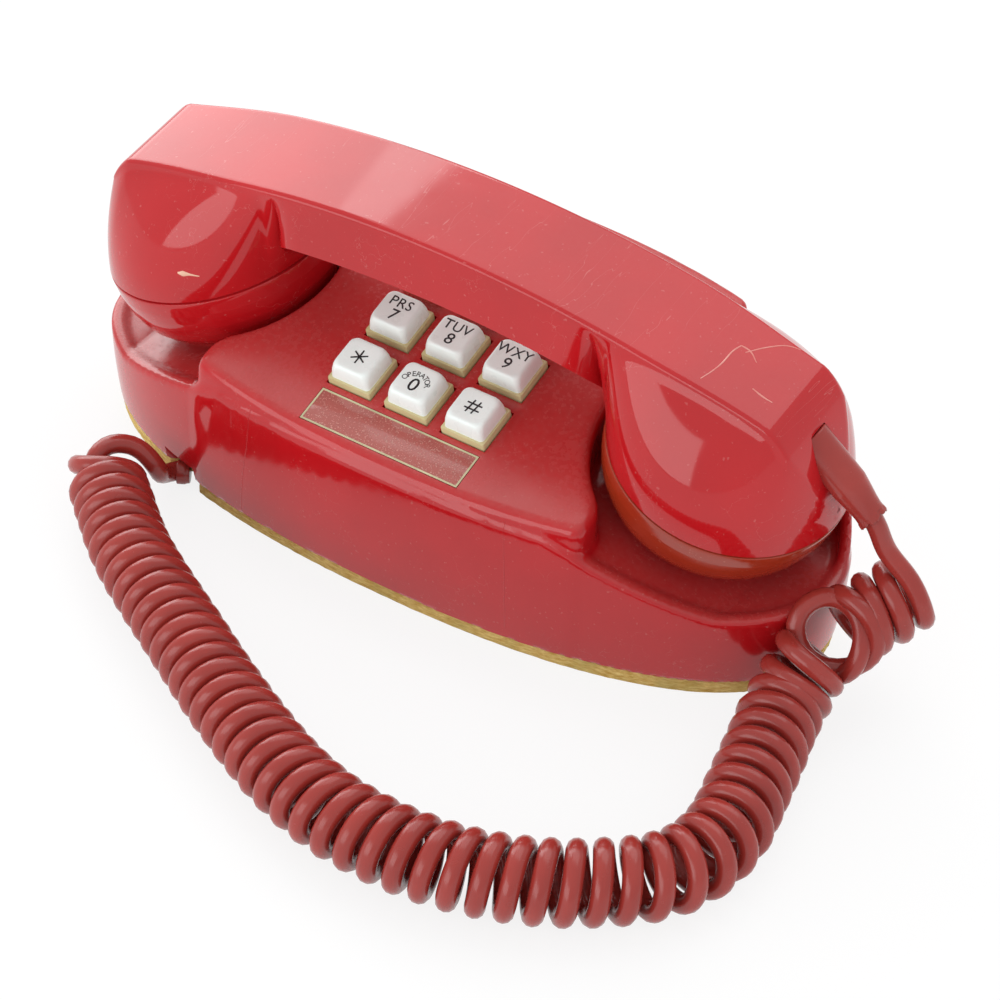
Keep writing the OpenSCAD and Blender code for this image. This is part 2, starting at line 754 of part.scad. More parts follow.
// ---- cord ---------------------------------------------------------------------------------

module cord_boot() {
    color("#a8433f") at_boot() {
        translate([0, 0, -4]) cylinder(r = boot_r, h = 4);
        cylinder(r1 = boot_r, r2 = wire_d / 2 + 0.6, h = boot_len);
    }
}

// tube of round section swept along a list of points
function unit(v) = v / norm(v);
function heading(path, i) =
    unit(path[min(i + 1, len(path) - 1)] - path[max(i - 1, 0)]);
function loop_at(c, d, r, n) =
    let (u = unit(cross(d, [0, 0, 1]) + [0.0001, 0, 0]), v = cross(u, d))
        [for (i = [0 : n - 1]) c + r * (cos(i * 360 / n) * u + sin(i * 360 / n) * v)];
module sweep(path, d, n) {
    stack(flip([for (i = [0 : len(path) - 1]) loop_at(path[i], heading(path, i), d / 2, n)]), n);
}

boot_dir = [cos(boot_down), sin(hs_lean) * sin(boot_down), -cos(hs_lean) * sin(boot_down)];
boot_out = hs(boot_from) + boot_len * boot_dir;
upper_route = [[122.4, -0.4, 50], [122.6, 0.5, 45.8], [122.3, 1.2, 41.8]];
lower_route = [[-68.3, -38.7, 3.4], [-71.5, -40.6, 3.4], [-75, -42.8, 3.5], [-78.3, -45.7, 4.2],
    [-80, -49.5, 5.4], [-80, -53.6, 7], [-78.9, -56.6, 8.8], [-77, -58.9, 10.4]];
coil_route = [[129.6, 4.8, 31.5], [125.4, -0.4, 28.2], [121, -7.4, 25.5], [117.2, -15.6, 22.8],
    [115.4, -21.6, 17.5], [114.9, -28, 12.4], [115.8, -35.6, 11], [118.3, -45.5, 11],
    [121.9, -61.3, 11], [124.6, -75.3, 11], [123.6, -87.8, 11], [118.5, -97.8, 11],
    [109.2, -106.6, 11], [97.9, -114.4, 11], [84.5, -120.6, 11], [71.8, -124, 11],
    [57.6, -125.4, 11], [41.9, -124.2, 11], [24.5, -119, 11], [2.2, -108.6, 11],
    [-19.5, -96.7, 11], [-49.7, -79.5, 11], [-66, -66.9, 11], [-75, -59.6, 11]];

module cord_lead_upper() {
    color("#a8433f") sweep(concat([boot_out, boot_out + 2.5 * boot_dir], upper_route), wire_d, 10);
}

module cord_lead_lower() {
    color("#a8433f") sweep(lower_route, wire_d, 10);
}

module cord_coil() {
    color("#a8433f") sweep(coil_route, curl_d, 12);
}

housing();
base_plate();
base_pad();
housing_screws();
number_window();
number_card();
keypad_frame();
keypad_board();
contact_leaves();
keypad_bracket();
network_block();
terminal_screws();
lever_bearings();
hook_switch_block();
hook_switch_springs();
ringer_frame();
ringer_coil();
ringer_gong();
gong_screw();
clapper();
dial_lamp();
lamp_socket();
line_inlet();
cord_inlet();
hook_lever();
plunger(-1);  // left_plunger
plunger(1);  // right_plunger
for (i = [0 : 11]) {
    key_cap(i);
    key_skirt(i);
}
handset_handle();
receiver_cap();
transmitter_cap();
receiver_unit();
transmitter_unit();
cord_boot();
cord_lead_upper();
cord_lead_lower();
cord_coil();
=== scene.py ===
import math
import bmesh
import bpy
import numpy as np
from mathutils import Matrix, Vector


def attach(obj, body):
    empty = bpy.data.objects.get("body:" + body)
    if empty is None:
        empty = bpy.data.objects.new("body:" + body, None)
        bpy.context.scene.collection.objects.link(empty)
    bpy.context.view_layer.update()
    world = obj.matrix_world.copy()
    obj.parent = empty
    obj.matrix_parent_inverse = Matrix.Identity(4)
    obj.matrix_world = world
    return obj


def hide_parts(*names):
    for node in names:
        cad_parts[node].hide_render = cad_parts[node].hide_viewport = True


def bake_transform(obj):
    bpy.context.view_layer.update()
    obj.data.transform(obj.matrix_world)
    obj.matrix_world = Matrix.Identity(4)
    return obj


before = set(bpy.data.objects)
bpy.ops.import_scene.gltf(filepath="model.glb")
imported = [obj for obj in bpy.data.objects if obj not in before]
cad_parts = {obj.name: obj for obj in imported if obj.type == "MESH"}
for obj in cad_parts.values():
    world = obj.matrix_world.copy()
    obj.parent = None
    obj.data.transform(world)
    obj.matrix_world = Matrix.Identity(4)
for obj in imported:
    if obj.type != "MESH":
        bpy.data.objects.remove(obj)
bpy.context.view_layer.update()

# A red push-button desk telephone. Shapes are worked out in millimetres and made in metres.
mm = 0.001
turn = 2 * math.pi
sharpAngle = 38    # degrees: an edge that turns more than this stays sharp


# small helpers

def smoothStep(t):
    t = np.clip(t, 0, 1)
    return t * t * (3 - 2 * t)


def softMax(a, b, k):    # larger of two distances, with the edge rounded over k
    h = np.maximum(k - np.abs(a - b), 0) / k
    return np.maximum(a, b) + h * h * k / 4


def softMin(a, b, k):
    return -softMax(-a, -b, k)


def inMetres(place):
    place = place.copy()
    place.translation *= mm
    return place


def lengthOf(v):
    return np.sqrt((v * v).sum(axis=-1))


def unitOf(v):
    return v / np.maximum(lengthOf(v), 1e-9)[..., None]


def moved(points, matrix):
    points = np.asarray(points, float)
    if matrix is None:
        return points
    return points @ np.array(matrix)[:3, :3].T + np.array(matrix)[:3, 3]


def addObject(name, data):
    obj = bpy.data.objects.new(name, data)
    bpy.context.scene.collection.objects.link(obj)
    return obj


def finishMesh(mesh, sharp=sharpAngle):
    mesh.shade_smooth()
    mesh.set_sharp_from_angle(angle=math.radians(sharp))
    mesh.update()


def makeMesh(name, points, faces, sharp=sharpAngle, matrix=None):
    mesh = bpy.data.meshes.new(name)
    mesh.from_pydata((moved(points, matrix) * mm).tolist(), [], [list(f) for f in faces])
    mesh.validate()
    finishMesh(mesh, sharp)
    return addObject(name, mesh)


def applyModifiers(obj, sharp=sharpAngle):
    depsgraph = bpy.context.evaluated_depsgraph_get()
    mesh = bpy.data.meshes.new_from_object(obj.evaluated_get(depsgraph))
    obj.modifiers.clear()
    obj.data = mesh
    finishMesh(mesh, sharp)
    return obj


def modified(obj, kind, sharp=sharpAngle, **settings):    # the object with one modifier applied
    modifier = obj.modifiers.new("step", kind)
    for key, value in settings.items():
        setattr(modifier, key, value)
    return applyModifiers(obj, sharp)


def cutWith(obj, cutter, sharp=sharpAngle):
    modified(obj, "BOOLEAN", sharp, operation="DIFFERENCE", solver="EXACT", object=cutter)
    bpy.data.objects.remove(cutter)
    return obj


def boxAt(size, centre, matrix=None):    # corners and faces of a box
    signs = np.array([[x, y, z] for x in (-1, 1) for y in (-1, 1) for z in (-1, 1)])
    faces = [[0, 1, 3, 2], [4, 6, 7, 5], [0, 4, 5, 1], [2, 3, 7, 6], [0, 2, 6, 4], [1, 5, 7, 3]]
    return moved(signs * np.array(size) / 2 + np.array(centre), matrix), faces


def merged(name, parts):    # one object from several point and face lists
    points, faces, base = [], [], 0
    for p, f in parts:
        points.append(p)
        faces += [[base + i for i in face] for face in f]
        base += len(p)
    return makeMesh(name, np.vstack(points), faces)


def joinPieces(name, objects):    # one object from several, which are removed
    parts = []
    for obj in objects:
        data = np.empty(len(obj.data.vertices) * 3)
        obj.data.vertices.foreach_get("co", data)
        parts.append((data.reshape(-1, 3) / mm, [list(p.vertices) for p in obj.data.polygons]))
        bpy.data.objects.remove(obj)
    return merged(name, parts)


def atHeight(outline, height):    # a flat outline as points at a height, or at a height each
    return np.column_stack([outline, np.broadcast_to(height, len(outline))])


def ringStack(rings, closed=True):    # faces between rings of equal length, with both ends closed
    rings = np.asarray(rings, float)
    count, n = rings.shape[:2]
    faces = [[k * n + i, k * n + (i + 1) % n, (k + 1) * n + (i + 1) % n, (k + 1) * n + i]
             for k in range(count - 1) for i in range(n)]
    if closed:
        faces += [list(range(n - 1, -1, -1)), [(count - 1) * n + i for i in range(n)]]
    return rings.reshape(-1, 3), faces


def outward(obj):
    work = bmesh.new()
    work.from_mesh(obj.data)
    bmesh.ops.remove_doubles(work, verts=work.verts, dist=1e-6)
    bmesh.ops.recalc_face_normals(work, faces=work.faces)
    work.to_mesh(obj.data)
    work.free()
    finishMesh(obj.data)
    return obj


def lathe(name, profile, matrix=None, steps=96):    # profile rows are radius, height
    profile = np.asarray(profile, float)
    angles = np.arange(steps) * turn / steps
    rings = [np.stack([r * np.cos(angles), r * np.sin(angles), np.full(steps, h)], 1)
             for r, h in profile]
    points, faces = ringStack(rings)
    return outward(makeMesh(name, points, faces, matrix=matrix))


def rodProfile(radius, low, high):
    return [(0, low), (radius, low), (radius, high), (0, high)]


def roundedProfile(corners, radius, steps=5):    # soften the corners of a profile
    corners = np.asarray(corners, float)
    out = [corners[0]]
    for i in range(1, len(corners) - 1):
        a, b, c = corners[i - 1:i + 2]
        r = min(radius, lengthOf(a - b) * 0.45, lengthOf(c - b) * 0.45)
        start, end = b + unitOf(a - b) * r, b + unitOf(c - b) * r
        for k in range(steps + 1):
            t = k / steps
            out.append((1 - t) ** 2 * start + 2 * t * (1 - t) * b + t * t * end)
    out.append(corners[-1])
    return np.array(out)


def smoothLine(points, step):    # a smooth line through points, resampled to an even step
    p = np.asarray(points, float)
    p = np.vstack([2 * p[0] - p[1], p, 2 * p[-1] - p[-2]])
    fine = []
    for i in range(1, len(p) - 2):
        t = np.linspace(0, 1, 40, endpoint=False)[:, None]
        a, b, c, d = p[i - 1], p[i], p[i + 1], p[i + 2]
        fine.append(0.5 * ((2 * b) + (c - a) * t + (2 * a - 5 * b + 4 * c - d) * t ** 2
                           + (3 * b - a - 3 * c + d) * t ** 3))
    fine = np.vstack(fine + [p[-2][None]])
    run = np.concatenate([[0], np.cumsum(lengthOf(np.diff(fine, axis=0)))])
    at = np.linspace(0, run[-1], max(2, int(round(run[-1] / step)) + 1))
    return np.stack([np.interp(at, run, fine[:, k]) for k in range(3)], 1), at


def headings(line):
    return unitOf(np.gradient(line, axis=0))


def carriedFrames(line, start):    # normals carried along a line without twist
    d = headings(line)
    u = np.zeros_like(line)
    first = np.array(start, float)
    u[0] = unitOf(first - d[0] * (first @ d[0]))
    for i in range(1, len(line)):
        v = u[i - 1] - d[i] * (u[i - 1] @ d[i])
        u[i] = v / np.linalg.norm(v)
    return d, u, np.cross(d, u)


def tubeRings(line, radius, sides):
    u, v = carriedFrames(line, [0.3, 0.2, 1])[1:]
    angle = np.arange(sides) * turn / sides
    ring = np.cos(angle)[:, None, None] * u + np.sin(angle)[:, None, None] * v
    radius = np.broadcast_to(radius, len(line))[:, None, None]
    return line[:, None] + ring.transpose(1, 0, 2) * radius


# camera

camera = {
    "target": (25.544, -23.963, 29.611), "distance": 870.56,
    "azimuth": 31.7046, "elevation": 40.5592, "roll": 2.4012, "lens": 122.4,
    "sensor": 36, "clipEnd": 20,
}


def placeCamera():
    a, e, r = (math.radians(camera[k]) for k in ("azimuth", "elevation", "roll"))
    back = Vector((math.sin(a) * math.cos(e), -math.cos(a) * math.cos(e), math.sin(e)))
    right = Vector((math.cos(a), math.sin(a), 0))
    up = back.cross(right)
    turnedRight = right * math.cos(r) + up * math.sin(r)
    turnedUp = up * math.cos(r) - right * math.sin(r)
    data = bpy.data.cameras.new("camera")
    data.lens = camera["lens"]
    data.sensor_width = camera["sensor"]
    data.clip_end = camera["clipEnd"]
    obj = addObject("camera", data)
    place = Matrix((turnedRight, turnedUp, back)).transposed().to_4x4()
    place.translation = (Vector(camera["target"]) + back * camera["distance"]) * mm
    obj.matrix_world = place
    bpy.context.scene.camera = obj


placeCamera()
print("camera placed")


# where the handset lies

handset = {
    "leanFront": 6.9, "shiftY": 5.4, "shiftZ": 0.1, "top": 100.2, "bow": 300.0, "facetHalf": 15.6,
    "facetEnd": 95.9, "sideHeight": 15.0, "flare": 2.8, "belly": 5.5, "archDrop": 12.2, "archIn": 0.45,
    "cupX": 78.65, "cupZ": 57.2, "cupR": 32.1, "cupTilt": 16.3, "capDepth": 21.0, "narrowing": 1.5,
    "narrowFrom": 60, "narrowRun": 36, "edge": 1.5, "cupEdge": 0.15,
    "bootFrom": (104, 0, 70), "bootDown": 42.0, "bootLength": 21.0, "bootDrop": 1.2,
}
handsetPlace = (Matrix.Translation((0, handset["shiftY"], handset["shiftZ"]))
                @ Matrix.Rotation(math.radians(handset["leanFront"]), 4, "X"))


def cupPlace(side):    # +Z runs down out of the cap, 0 at the joint with the handle
    return (handsetPlace @ Matrix.Translation((side * handset["cupX"], 0, handset["cupZ"]))
            @ Matrix.Rotation(math.radians(180 + side * handset["cupTilt"]), 4, "Y"))


bootPlace = (handsetPlace @ Matrix.Translation(handset["bootFrom"])
             @ Matrix.Rotation(math.radians(90 + handset["bootDown"]), 4, "Y"))
bootDir = np.array(bootPlace)[:3, 2]
bootSag = unitOf(np.cross(bootDir, np.cross(bootDir, [0, 0, 1])))


def bootDroop(along):    # how far the boot hangs below a straight line
    return bootSag * handset["bootDrop"] * (max(along, 0) / handset["bootLength"]) ** 2


def bootAt(along):
    return np.array(bootPlace)[:3, 3] + bootDir * along + bootDroop(along)


# curly handset cord

cord = {
    "wire": 5.2, "coil": 21.5, "sides": 12, "perTurn": 30, "handed": -1, "startAngle": 265,
    "axisStep": 0.2, "leadStep": 1.5, "inBoot": (18, 20.5, 23), "ease": range(34, 8, -2),
    "upper": [(121.6, -0.4, 49.6), (121.7, 0.1, 45.4)],
    "axis": [(130.4, 5.8, 32.1), (125.4, -0.4, 28.2), (121, -7.4, 25.5), (117.2, -15.6, 22.8),
             (115.4, -21.6, 17.5), (114.9, -28, 12.4), (115.8, -35.6, 11), (118.3, -45.5, 11),
             (121.9, -61.3, 11), (124.6, -75.3, 11), (123.6, -87.8, 11), (118.5, -97.8, 11),
             (109.2, -106.6, 11), (97.9, -114.4, 11), (84.5, -120.6, 11), (71.8, -124, 11),
             (57.6, -125.4, 11), (41.9, -124.2, 11), (24.5, -119, 11), (2.2, -108.6, 11),
             (-19.5, -96.7, 11), (-49.7, -79.5, 11), (-67.4, -65.8, 11), (-75.5, -58.8, 11.4),
             (-76.6, -55.4, 11.6), (-71.8, -54.2, 10.6)],
    "lower": [(-67, -46.5, 9), (-69.8, -43.6, 4.6), (-69.9, -39.9, 3.4), (-67.4, -37.2, 3.4)],
    # distance between turns against the share of the way along the coil
    "pitch": [(0, 6.2), (0.045, 6.4), (0.065, 7.2), (0.09, 6.6), (0.3, 7), (0.45, 6.4), (0.6, 6.2),
              (0.9, 5.8), (0.97, 5.6), (1, 7)],
    # turns that lie open: share of the way along, their axis, how far they turn to it, spread, size
    "open": [(0.072, (0.4, -0.65, 0.65), 0.95, 0.013, 1.25), (0.978, (0.7, -0.2, 0.75), 0.35, 0.01, 1),
             (1.0, (0.4, -0.65, 0.65), 0.95, 0.012, 1)],
}


def cordLine():
    axis, run = smoothLine(cord["axis"], cord["axisStep"])
    d, u = carriedFrames(axis, [0.2, 1, 0.3])[:2]
    share = run / run[-1]
    radius = np.full(len(axis), (cord["coil"] - cord["wire"]) / 2)
    for at, normal, weight, spread, size in cord["open"]:
        w = np.exp(-((share - at) / spread) ** 2)
        radius *= 1 + (size - 1) * w
        w = weight * w[:, None]
        d = unitOf(d * (1 - w) + unitOf(np.array(normal)) * w)
    u = unitOf(u - d * (u * d).sum(axis=1)[:, None])
    v = np.cross(d, u)
    table = np.array(cord["pitch"], float)
    pitch = np.interp(share, table[:, 0], table[:, 1])
    turns = np.concatenate([[0], np.cumsum(np.diff(run) / pitch[1:])])
    angle = cord["handed"] * turn * turns + math.radians(cord["startAngle"])
    helix = axis + radius[:, None] * (np.cos(angle)[:, None] * u + np.sin(angle)[:, None] * v)
    keep = np.interp(np.arange(0, turns[-1], 1 / cord["perTurn"]), turns, np.arange(len(turns)))
    helix = np.stack([np.interp(keep, np.arange(len(helix)), helix[:, k]) for k in range(3)], 1)
    start = [bootAt(along) for along in cord["inBoot"]] + cord["upper"]
    first = smoothLine(np.vstack([start, helix[3:9:2]]), cord["leadStep"])[0][:-3]
    last = smoothLine(np.vstack([helix[-8:-2:2], cord["lower"]]), cord["leadStep"])[0]
    print(f"cord has {turns[-1]:.1f} turns")
    path = np.vstack([first, helix[7:-8], last])
    for reach in cord["ease"]:    # ease the leads into the coil
        for near in (np.arange(1, reach), len(path) - 1 - np.arange(1, reach * 2 // 3)):
            path[near] = (path[near - 1] + 2 * path[near] + path[near + 1]) / 4
    return path


cordPath = cordLine()
points, faces = ringStack(tubeRings(cordPath, cord["wire"] / 2, cord["sides"]))
handsetCord = outward(makeMesh("handsetCord", points, faces))


# materials: a colour is an sRGB hex value, a size is in millimetres

def linear(colour):
    parts = [int(colour[i:i + 2], 16) / 255 for i in (1, 3, 5)]
    return tuple(v / 12.92 if v <= 0.04045 else ((v + 0.055) / 1.055) ** 2.4 for v in parts) + (1,)


def feed(tree, node, inputs):    # an input takes a value, a socket or a node
    for key, value in inputs.items():
        if isinstance(value, bpy.types.Node):
            value = value.outputs[0]
        if isinstance(value, bpy.types.NodeSocket):
            tree.links.new(value, node.inputs[key])
        else:
            node.inputs[key].default_value = value
    return node


def addNode(tree, kind, inputs=None, **settings):
    node = tree.nodes.new(kind)
    for key, value in settings.items():
        setattr(node, key, value)
    return feed(tree, node, inputs or {})


def newMaterial(name, **values):
    material = bpy.data.materials.new(name)
    material.use_nodes = True
    tree = material.node_tree
    shader = tree.nodes["Principled BSDF"]
    feed(tree, shader, {key.replace("_", " "): value for key, value in values.items()})
    where = addNode(tree, "ShaderNodeTexCoord").outputs["Object"]
    return material, tree, shader, where


def polishedAbs(name, colour, shade, dusty, look):
    # ABS, moulded in a polished tool: deep colour under sharp reflections, with settled dust and
    # hair scratches
    material, tree, shader, where = newMaterial(name, IOR=1.54)
    layer = {}
    for key, size, detail, low, high, least, most in (
            ("cloud", 45, 3, 0.38, 0.62, 0, 1), ("specks", 1.1, 1, 0.71, 0.77, 0, 1),
            ("drift", 24, 2, 0.4, 0.65, 0.15, look["dust"]), ("grain", 1.3, 3, 0.35, 0.7, 0.7, 1.25),
            ("film", 14, 4, 0.35, 0.7, look["roughness"], look["roughness"] + look["film"])):
        noise = addNode(tree, "ShaderNodeTexNoise", {
            "Vector": where, "Scale": 1 / (size * mm), "Detail": detail})
        layer[key] = addNode(tree, "ShaderNodeMapRange", {0: noise, 1: low, 2: high, 3: least, 4: most})
    tone = addNode(tree, "ShaderNodeMix", {0: layer["cloud"], 6: linear(colour), 7: linear(shade)},
                   data_type="RGBA").outputs[2]
    marks = addNode(tree, "ShaderNodeMath", {0: layer["specks"], 1: layer["drift"]}, operation="MULTIPLY")
    faces = addNode(tree, "ShaderNodeNewGeometry").outputs["Normal"]
    # dust settles on level faces
    level = addNode(tree, "ShaderNodeSeparateXYZ", {0: faces}).outputs["Z"]
    level = addNode(tree, "ShaderNodeMapRange", {0: level, 1: 0.55, 2: 0.97})
    haze = addNode(tree, "ShaderNodeMath", {0: level, 1: layer["grain"]}, operation="MULTIPLY")
    haze = addNode(tree, "ShaderNodeMath", {0: haze, 1: look["settled"]}, operation="MULTIPLY")
    marks = addNode(tree, "ShaderNodeMath", {0: marks, 1: haze}, operation="ADD")
    for spin, thin in (((0.3, 0.2, 0.5), 0.0018), ((0.9, -0.4, 1.7), 0.0014), ((0.1, 1.1, 2.6), 0.0012)):
        along = addNode(tree, "ShaderNodeMapping", {
            "Vector": where, "Rotation": spin, "Scale": (1, 0.05, 1)})
        lines = addNode(tree, "ShaderNodeTexNoise", {"Vector": along, "Scale": 1 / (7 * mm), "Detail": 3})
        lines = addNode(tree, "ShaderNodeMath", {0: lines, 1: 0.5, 2: thin}, operation="COMPARE")
        patch = addNode(tree, "ShaderNodeTexNoise", {
            "Vector": along, "Scale": 1 / (16 * mm), "Detail": 1})
        patch = addNode(tree, "ShaderNodeMapRange", {0: patch, 1: 0.56, 2: 0.66, 4: look["scratches"]})
        lines = addNode(tree, "ShaderNodeMath", {0: lines, 1: patch}, operation="MULTIPLY")
        marks = addNode(tree, "ShaderNodeMath", {0: marks, 1: lines}, operation="MAXIMUM")
    tone = addNode(tree, "ShaderNodeMix", {0: marks, 6: tone, 7: linear(dusty)},
                   data_type="RGBA").outputs[2]
    film = layer["film"]
    dull = addNode(tree, "ShaderNodeMath", {0: haze, 1: 1.5, 2: film}, operation="MULTIPLY_ADD")
    film = addNode(tree, "ShaderNodeMath", {0: film, 1: dull}, operation="MAXIMUM")
    dull = addNode(tree, "ShaderNodeMath", {0: marks, 1: 0.6}, operation="MULTIPLY")
    film = addNode(tree, "ShaderNodeMath", {0: film, 1: dull}, operation="MAXIMUM")
    waves = addNode(tree, "ShaderNodeTexNoise", {"Vector": where, "Scale": 1 / (11 * mm), "Detail": 2})
    waves = addNode(tree, "ShaderNodeBump", {"Height": waves, "Strength": 0.3, "Distance": 0.004 * mm})
    feed(tree, shader, {"Base Color": tone, "Roughness": film, "Normal": waves})
    return material


def mouldedPlastic(name, colour, shade, roughness, size=3, depth=0.02, **values):
    # moulded plastic or rubber: even colour with a faint mottle and a fine skin
    material, tree, shader, where = newMaterial(name, **values)
    mottle = addNode(tree, "ShaderNodeTexNoise", {
        "Vector": where, "Scale": 1 / (5 * size * mm), "Detail": 3})
    mottle = addNode(tree, "ShaderNodeMapRange", {0: mottle, 1: 0.3, 2: 0.7})
    tone = addNode(tree, "ShaderNodeMix", {0: mottle, 6: linear(colour), 7: linear(shade)},
                   data_type="RGBA")
    skin = addNode(tree, "ShaderNodeTexNoise", {"Vector": where, "Scale": 1 / (size * mm), "Detail": 2})
    gloss = addNode(tree, "ShaderNodeMapRange", {
        0: skin, 1: 0.3, 2: 0.7, 3: roughness, 4: roughness + 0.1})
    skin = addNode(tree, "ShaderNodeBump", {"Height": skin, "Strength": 0.3, "Distance": depth * mm})
    feed(tree, shader, {"Base Color": tone.outputs[2], "Roughness": gloss, "Normal": skin})
    return material


def rolledMetal(name, colour, shade, roughness, stretch=(1, 0.05, 1)):
    # rolled, turned or drawn metal: faint streaks along the working direction
    material, tree, shader, where = newMaterial(name, Metallic=1.0)
    along = addNode(tree, "ShaderNodeMapping", {"Vector": where, "Scale": stretch})
    streaks = addNode(tree, "ShaderNodeTexNoise", {"Vector": along, "Scale": 1 / (1.2 * mm), "Detail": 3})
    share = addNode(tree, "ShaderNodeMapRange", {0: streaks, 1: 0.3, 2: 0.7})
    tone = addNode(tree, "ShaderNodeMix", {0: share, 6: linear(colour), 7: linear(shade)},
                   data_type="RGBA")
    gloss = addNode(tree, "ShaderNodeMapRange", {
        0: streaks, 1: 0.3, 2: 0.7, 3: roughness, 4: roughness + 0.12})
    bump = addNode(tree, "ShaderNodeBump", {"Height": streaks, "Strength": 0.2, "Distance": 0.01 * mm})
    feed(tree, shader, {"Base Color": tone.outputs[2], "Roughness": gloss, "Normal": bump})
    return material


def pressedFibre(name):
    # pressed fibre board: dull tan, with strands and stains showing on its sawn edge
    material, tree, shader, where = newMaterial(name, Roughness=0.92)
    flat = addNode(tree, "ShaderNodeMapping", {"Vector": where, "Scale": (0.35, 0.35, 1.6)})
    strands = addNode(tree, "ShaderNodeTexNoise", {
        "Vector": flat, "Scale": 1 / (0.9 * mm), "Detail": 4, "Roughness": 0.7})
    share = addNode(tree, "ShaderNodeMapRange", {0: strands, 1: 0.35, 2: 0.68})
    tone = addNode(tree, "ShaderNodeMix", {0: share, 6: linear("#b8923f"), 7: linear("#e8d188")},
                   data_type="RGBA").outputs[2]
    stain = addNode(tree, "ShaderNodeTexNoise", {"Vector": where, "Scale": 1 / (11 * mm), "Detail": 3})
    stain = addNode(tree, "ShaderNodeMapRange", {0: stain, 1: 0.52, 2: 0.72, 4: 0.5})
    tone = addNode(tree, "ShaderNodeMix", {0: stain, 6: tone, 7: linear("#a89c58")}, data_type="RGBA")
    bump = addNode(tree, "ShaderNodeBump", {"Height": strands, "Strength": 0.8, "Distance": 0.25 * mm})
    feed(tree, shader, {"Base Color": tone.outputs[2], "Normal": bump})
    return material


def clearSheet(name, colour, dusty, roughness, clear):
    # acrylic or glass: clear, with a haze and dust that scatter a little pale light. Where the sheet is
    # not clear, its base colour shows as plain diffuse colour; on the card window that colour is painted
    # light, standing in for the lit card seen through it
    material, tree, shader, where = newMaterial(name, IOR=1.49, Transmission_Weight=clear)
    dust = addNode(tree, "ShaderNodeTexNoise", {"Vector": where, "Scale": 1 / (0.45 * mm), "Detail": 3})
    dust = addNode(tree, "ShaderNodeMapRange", {0: dust, 1: 0.55, 2: 0.72, 4: 0.7})
    tone = addNode(tree, "ShaderNodeMix", {0: dust, 6: linear(colour), 7: linear(dusty)},
                   data_type="RGBA")
    gloss = addNode(tree, "ShaderNodeMapRange", {0: dust, 1: 0, 2: 0.7, 3: roughness, 4: 0.5})
    feed(tree, shader, {"Base Color": tone.outputs[2], "Roughness": gloss})
    return material


finish = {
    "redPlastic": polishedAbs("polishedRedAbs", "#ba161d", "#af151b", "#dfa9a3", {
        "dust": 0.12, "scratches": 0.2, "settled": 0.012, "roughness": 0.045, "film": 0.05}),
    "shellPlastic": polishedAbs("dustyRedAbs", "#ba161d", "#af151b", "#c98f86", {
        "dust": 0.2, "scratches": 0.2, "settled": 0.11, "roughness": 0.06, "film": 0.09}),
    "orangePlastic": polishedAbs("sunFadedRedAbs", "#a3341b", "#972e19", "#d79d86", {
        "dust": 0.2, "scratches": 0.2, "settled": 0.02, "roughness": 0.12, "film": 0.08}),
    # the green-blue cast of these key colours is painted in to cancel the red light bounced onto the keys
    # from the housing; the keys are plain white
    "whiteKey": mouldedPlastic("polishedWhiteAcetal", "#f3fbf8", "#edf5f2", 0.25, 4, 0.01, IOR=1.48),
    "ivorySkirt": mouldedPlastic("mouldedIvoryAbs", "#d3c798", "#c6ba88", 0.35),
    "legend": mouldedPlastic("padPrintedInk", "#17171a", "#222226", 0.5, 1, 0.005),
    "fibre": pressedFibre("pressedFibreBoard"),
    # the card window's pink base colour is painted light for the lit card seen through it; the pale
    # specks and haze on it are dust
    "acrylic": clearSheet("hazyAcrylicWithPaintedCardLight", "#d87c74", "#f1c9b8", 0.08, 0.4),
    "acrylicEdge": mouldedPlastic("sawnAcrylicEdge", "#d6cea8", "#b4b08a", 0.45, 1.5, 0.03),
    "card": mouldedPlastic("fadedPrintedCard", "#b34a55", "#a63e49", 0.8, 2, 0.02),
    "cordVinyl": mouldedPlastic("extrudedVinyl", "#9e352e", "#912d27", 0.18, 3, 0.012, IOR=1.53),
    "creamPaint": mouldedPlastic("driedCreamPaint", "#ecc2a8", "#dfb094", 0.4, 1, 0.02),
    "scuffedPlastic": mouldedPlastic("stressWhitenedAbs", "#e09a8e", "#cf6f68", 0.35, 1.5, 0.02),
    "plateSteel": rolledMetal("zincPlatedSteel", "#9aa096", "#7f867d", 0.38),
    "bracketSteel": rolledMetal("galvanisedSteel", "#a6abad", "#8e9396", 0.4),
    "brightSteel": rolledMetal("turnedSteel", "#c4c6c8", "#a9acae", 0.25, (0.05, 1, 1)),
    "springBrass": rolledMetal("rolledSpringBrass", "#c9a24a", "#b48d3c", 0.25),
    "unitMetal": rolledMetal("spunAluminium", "#b9bcc0", "#a3a6aa", 0.32, (0.3, 0.3, 1)),
    "board": mouldedPlastic("etchedLaminate", "#5b7a4a", "#4c693d", 0.5, 1.5),
    "darkPlastic": mouldedPlastic("mouldedPhenolic", "#3b3b3d", "#2f2f31", 0.4),
    "brownPlastic": mouldedPlastic("brownPhenolic", "#4a4038", "#3d342d", 0.45),
    "darkRubber": mouldedPlastic("mouldedRubber", "#2b2b2d", "#232325", 0.7),
    "whitePlastic": mouldedPlastic("mouldedNylon", "#dcd9ce", "#cfccc0", 0.4),
    "coilWire": mouldedPlastic("enamelledCopperWinding", "#7d3b1e", "#6a3018", 0.35, 0.6, 0.05),
    "lampGlass": clearSheet("blownLampGlass", "#f4ecd4", "#efe6c8", 0.04, 1.0),
}


def paint(obj, name):
    obj.data.materials.clear()
    obj.data.materials.append(finish[name])
    return obj


print(f"{len(finish)} materials made")


# housing: a distance field turned into a mesh

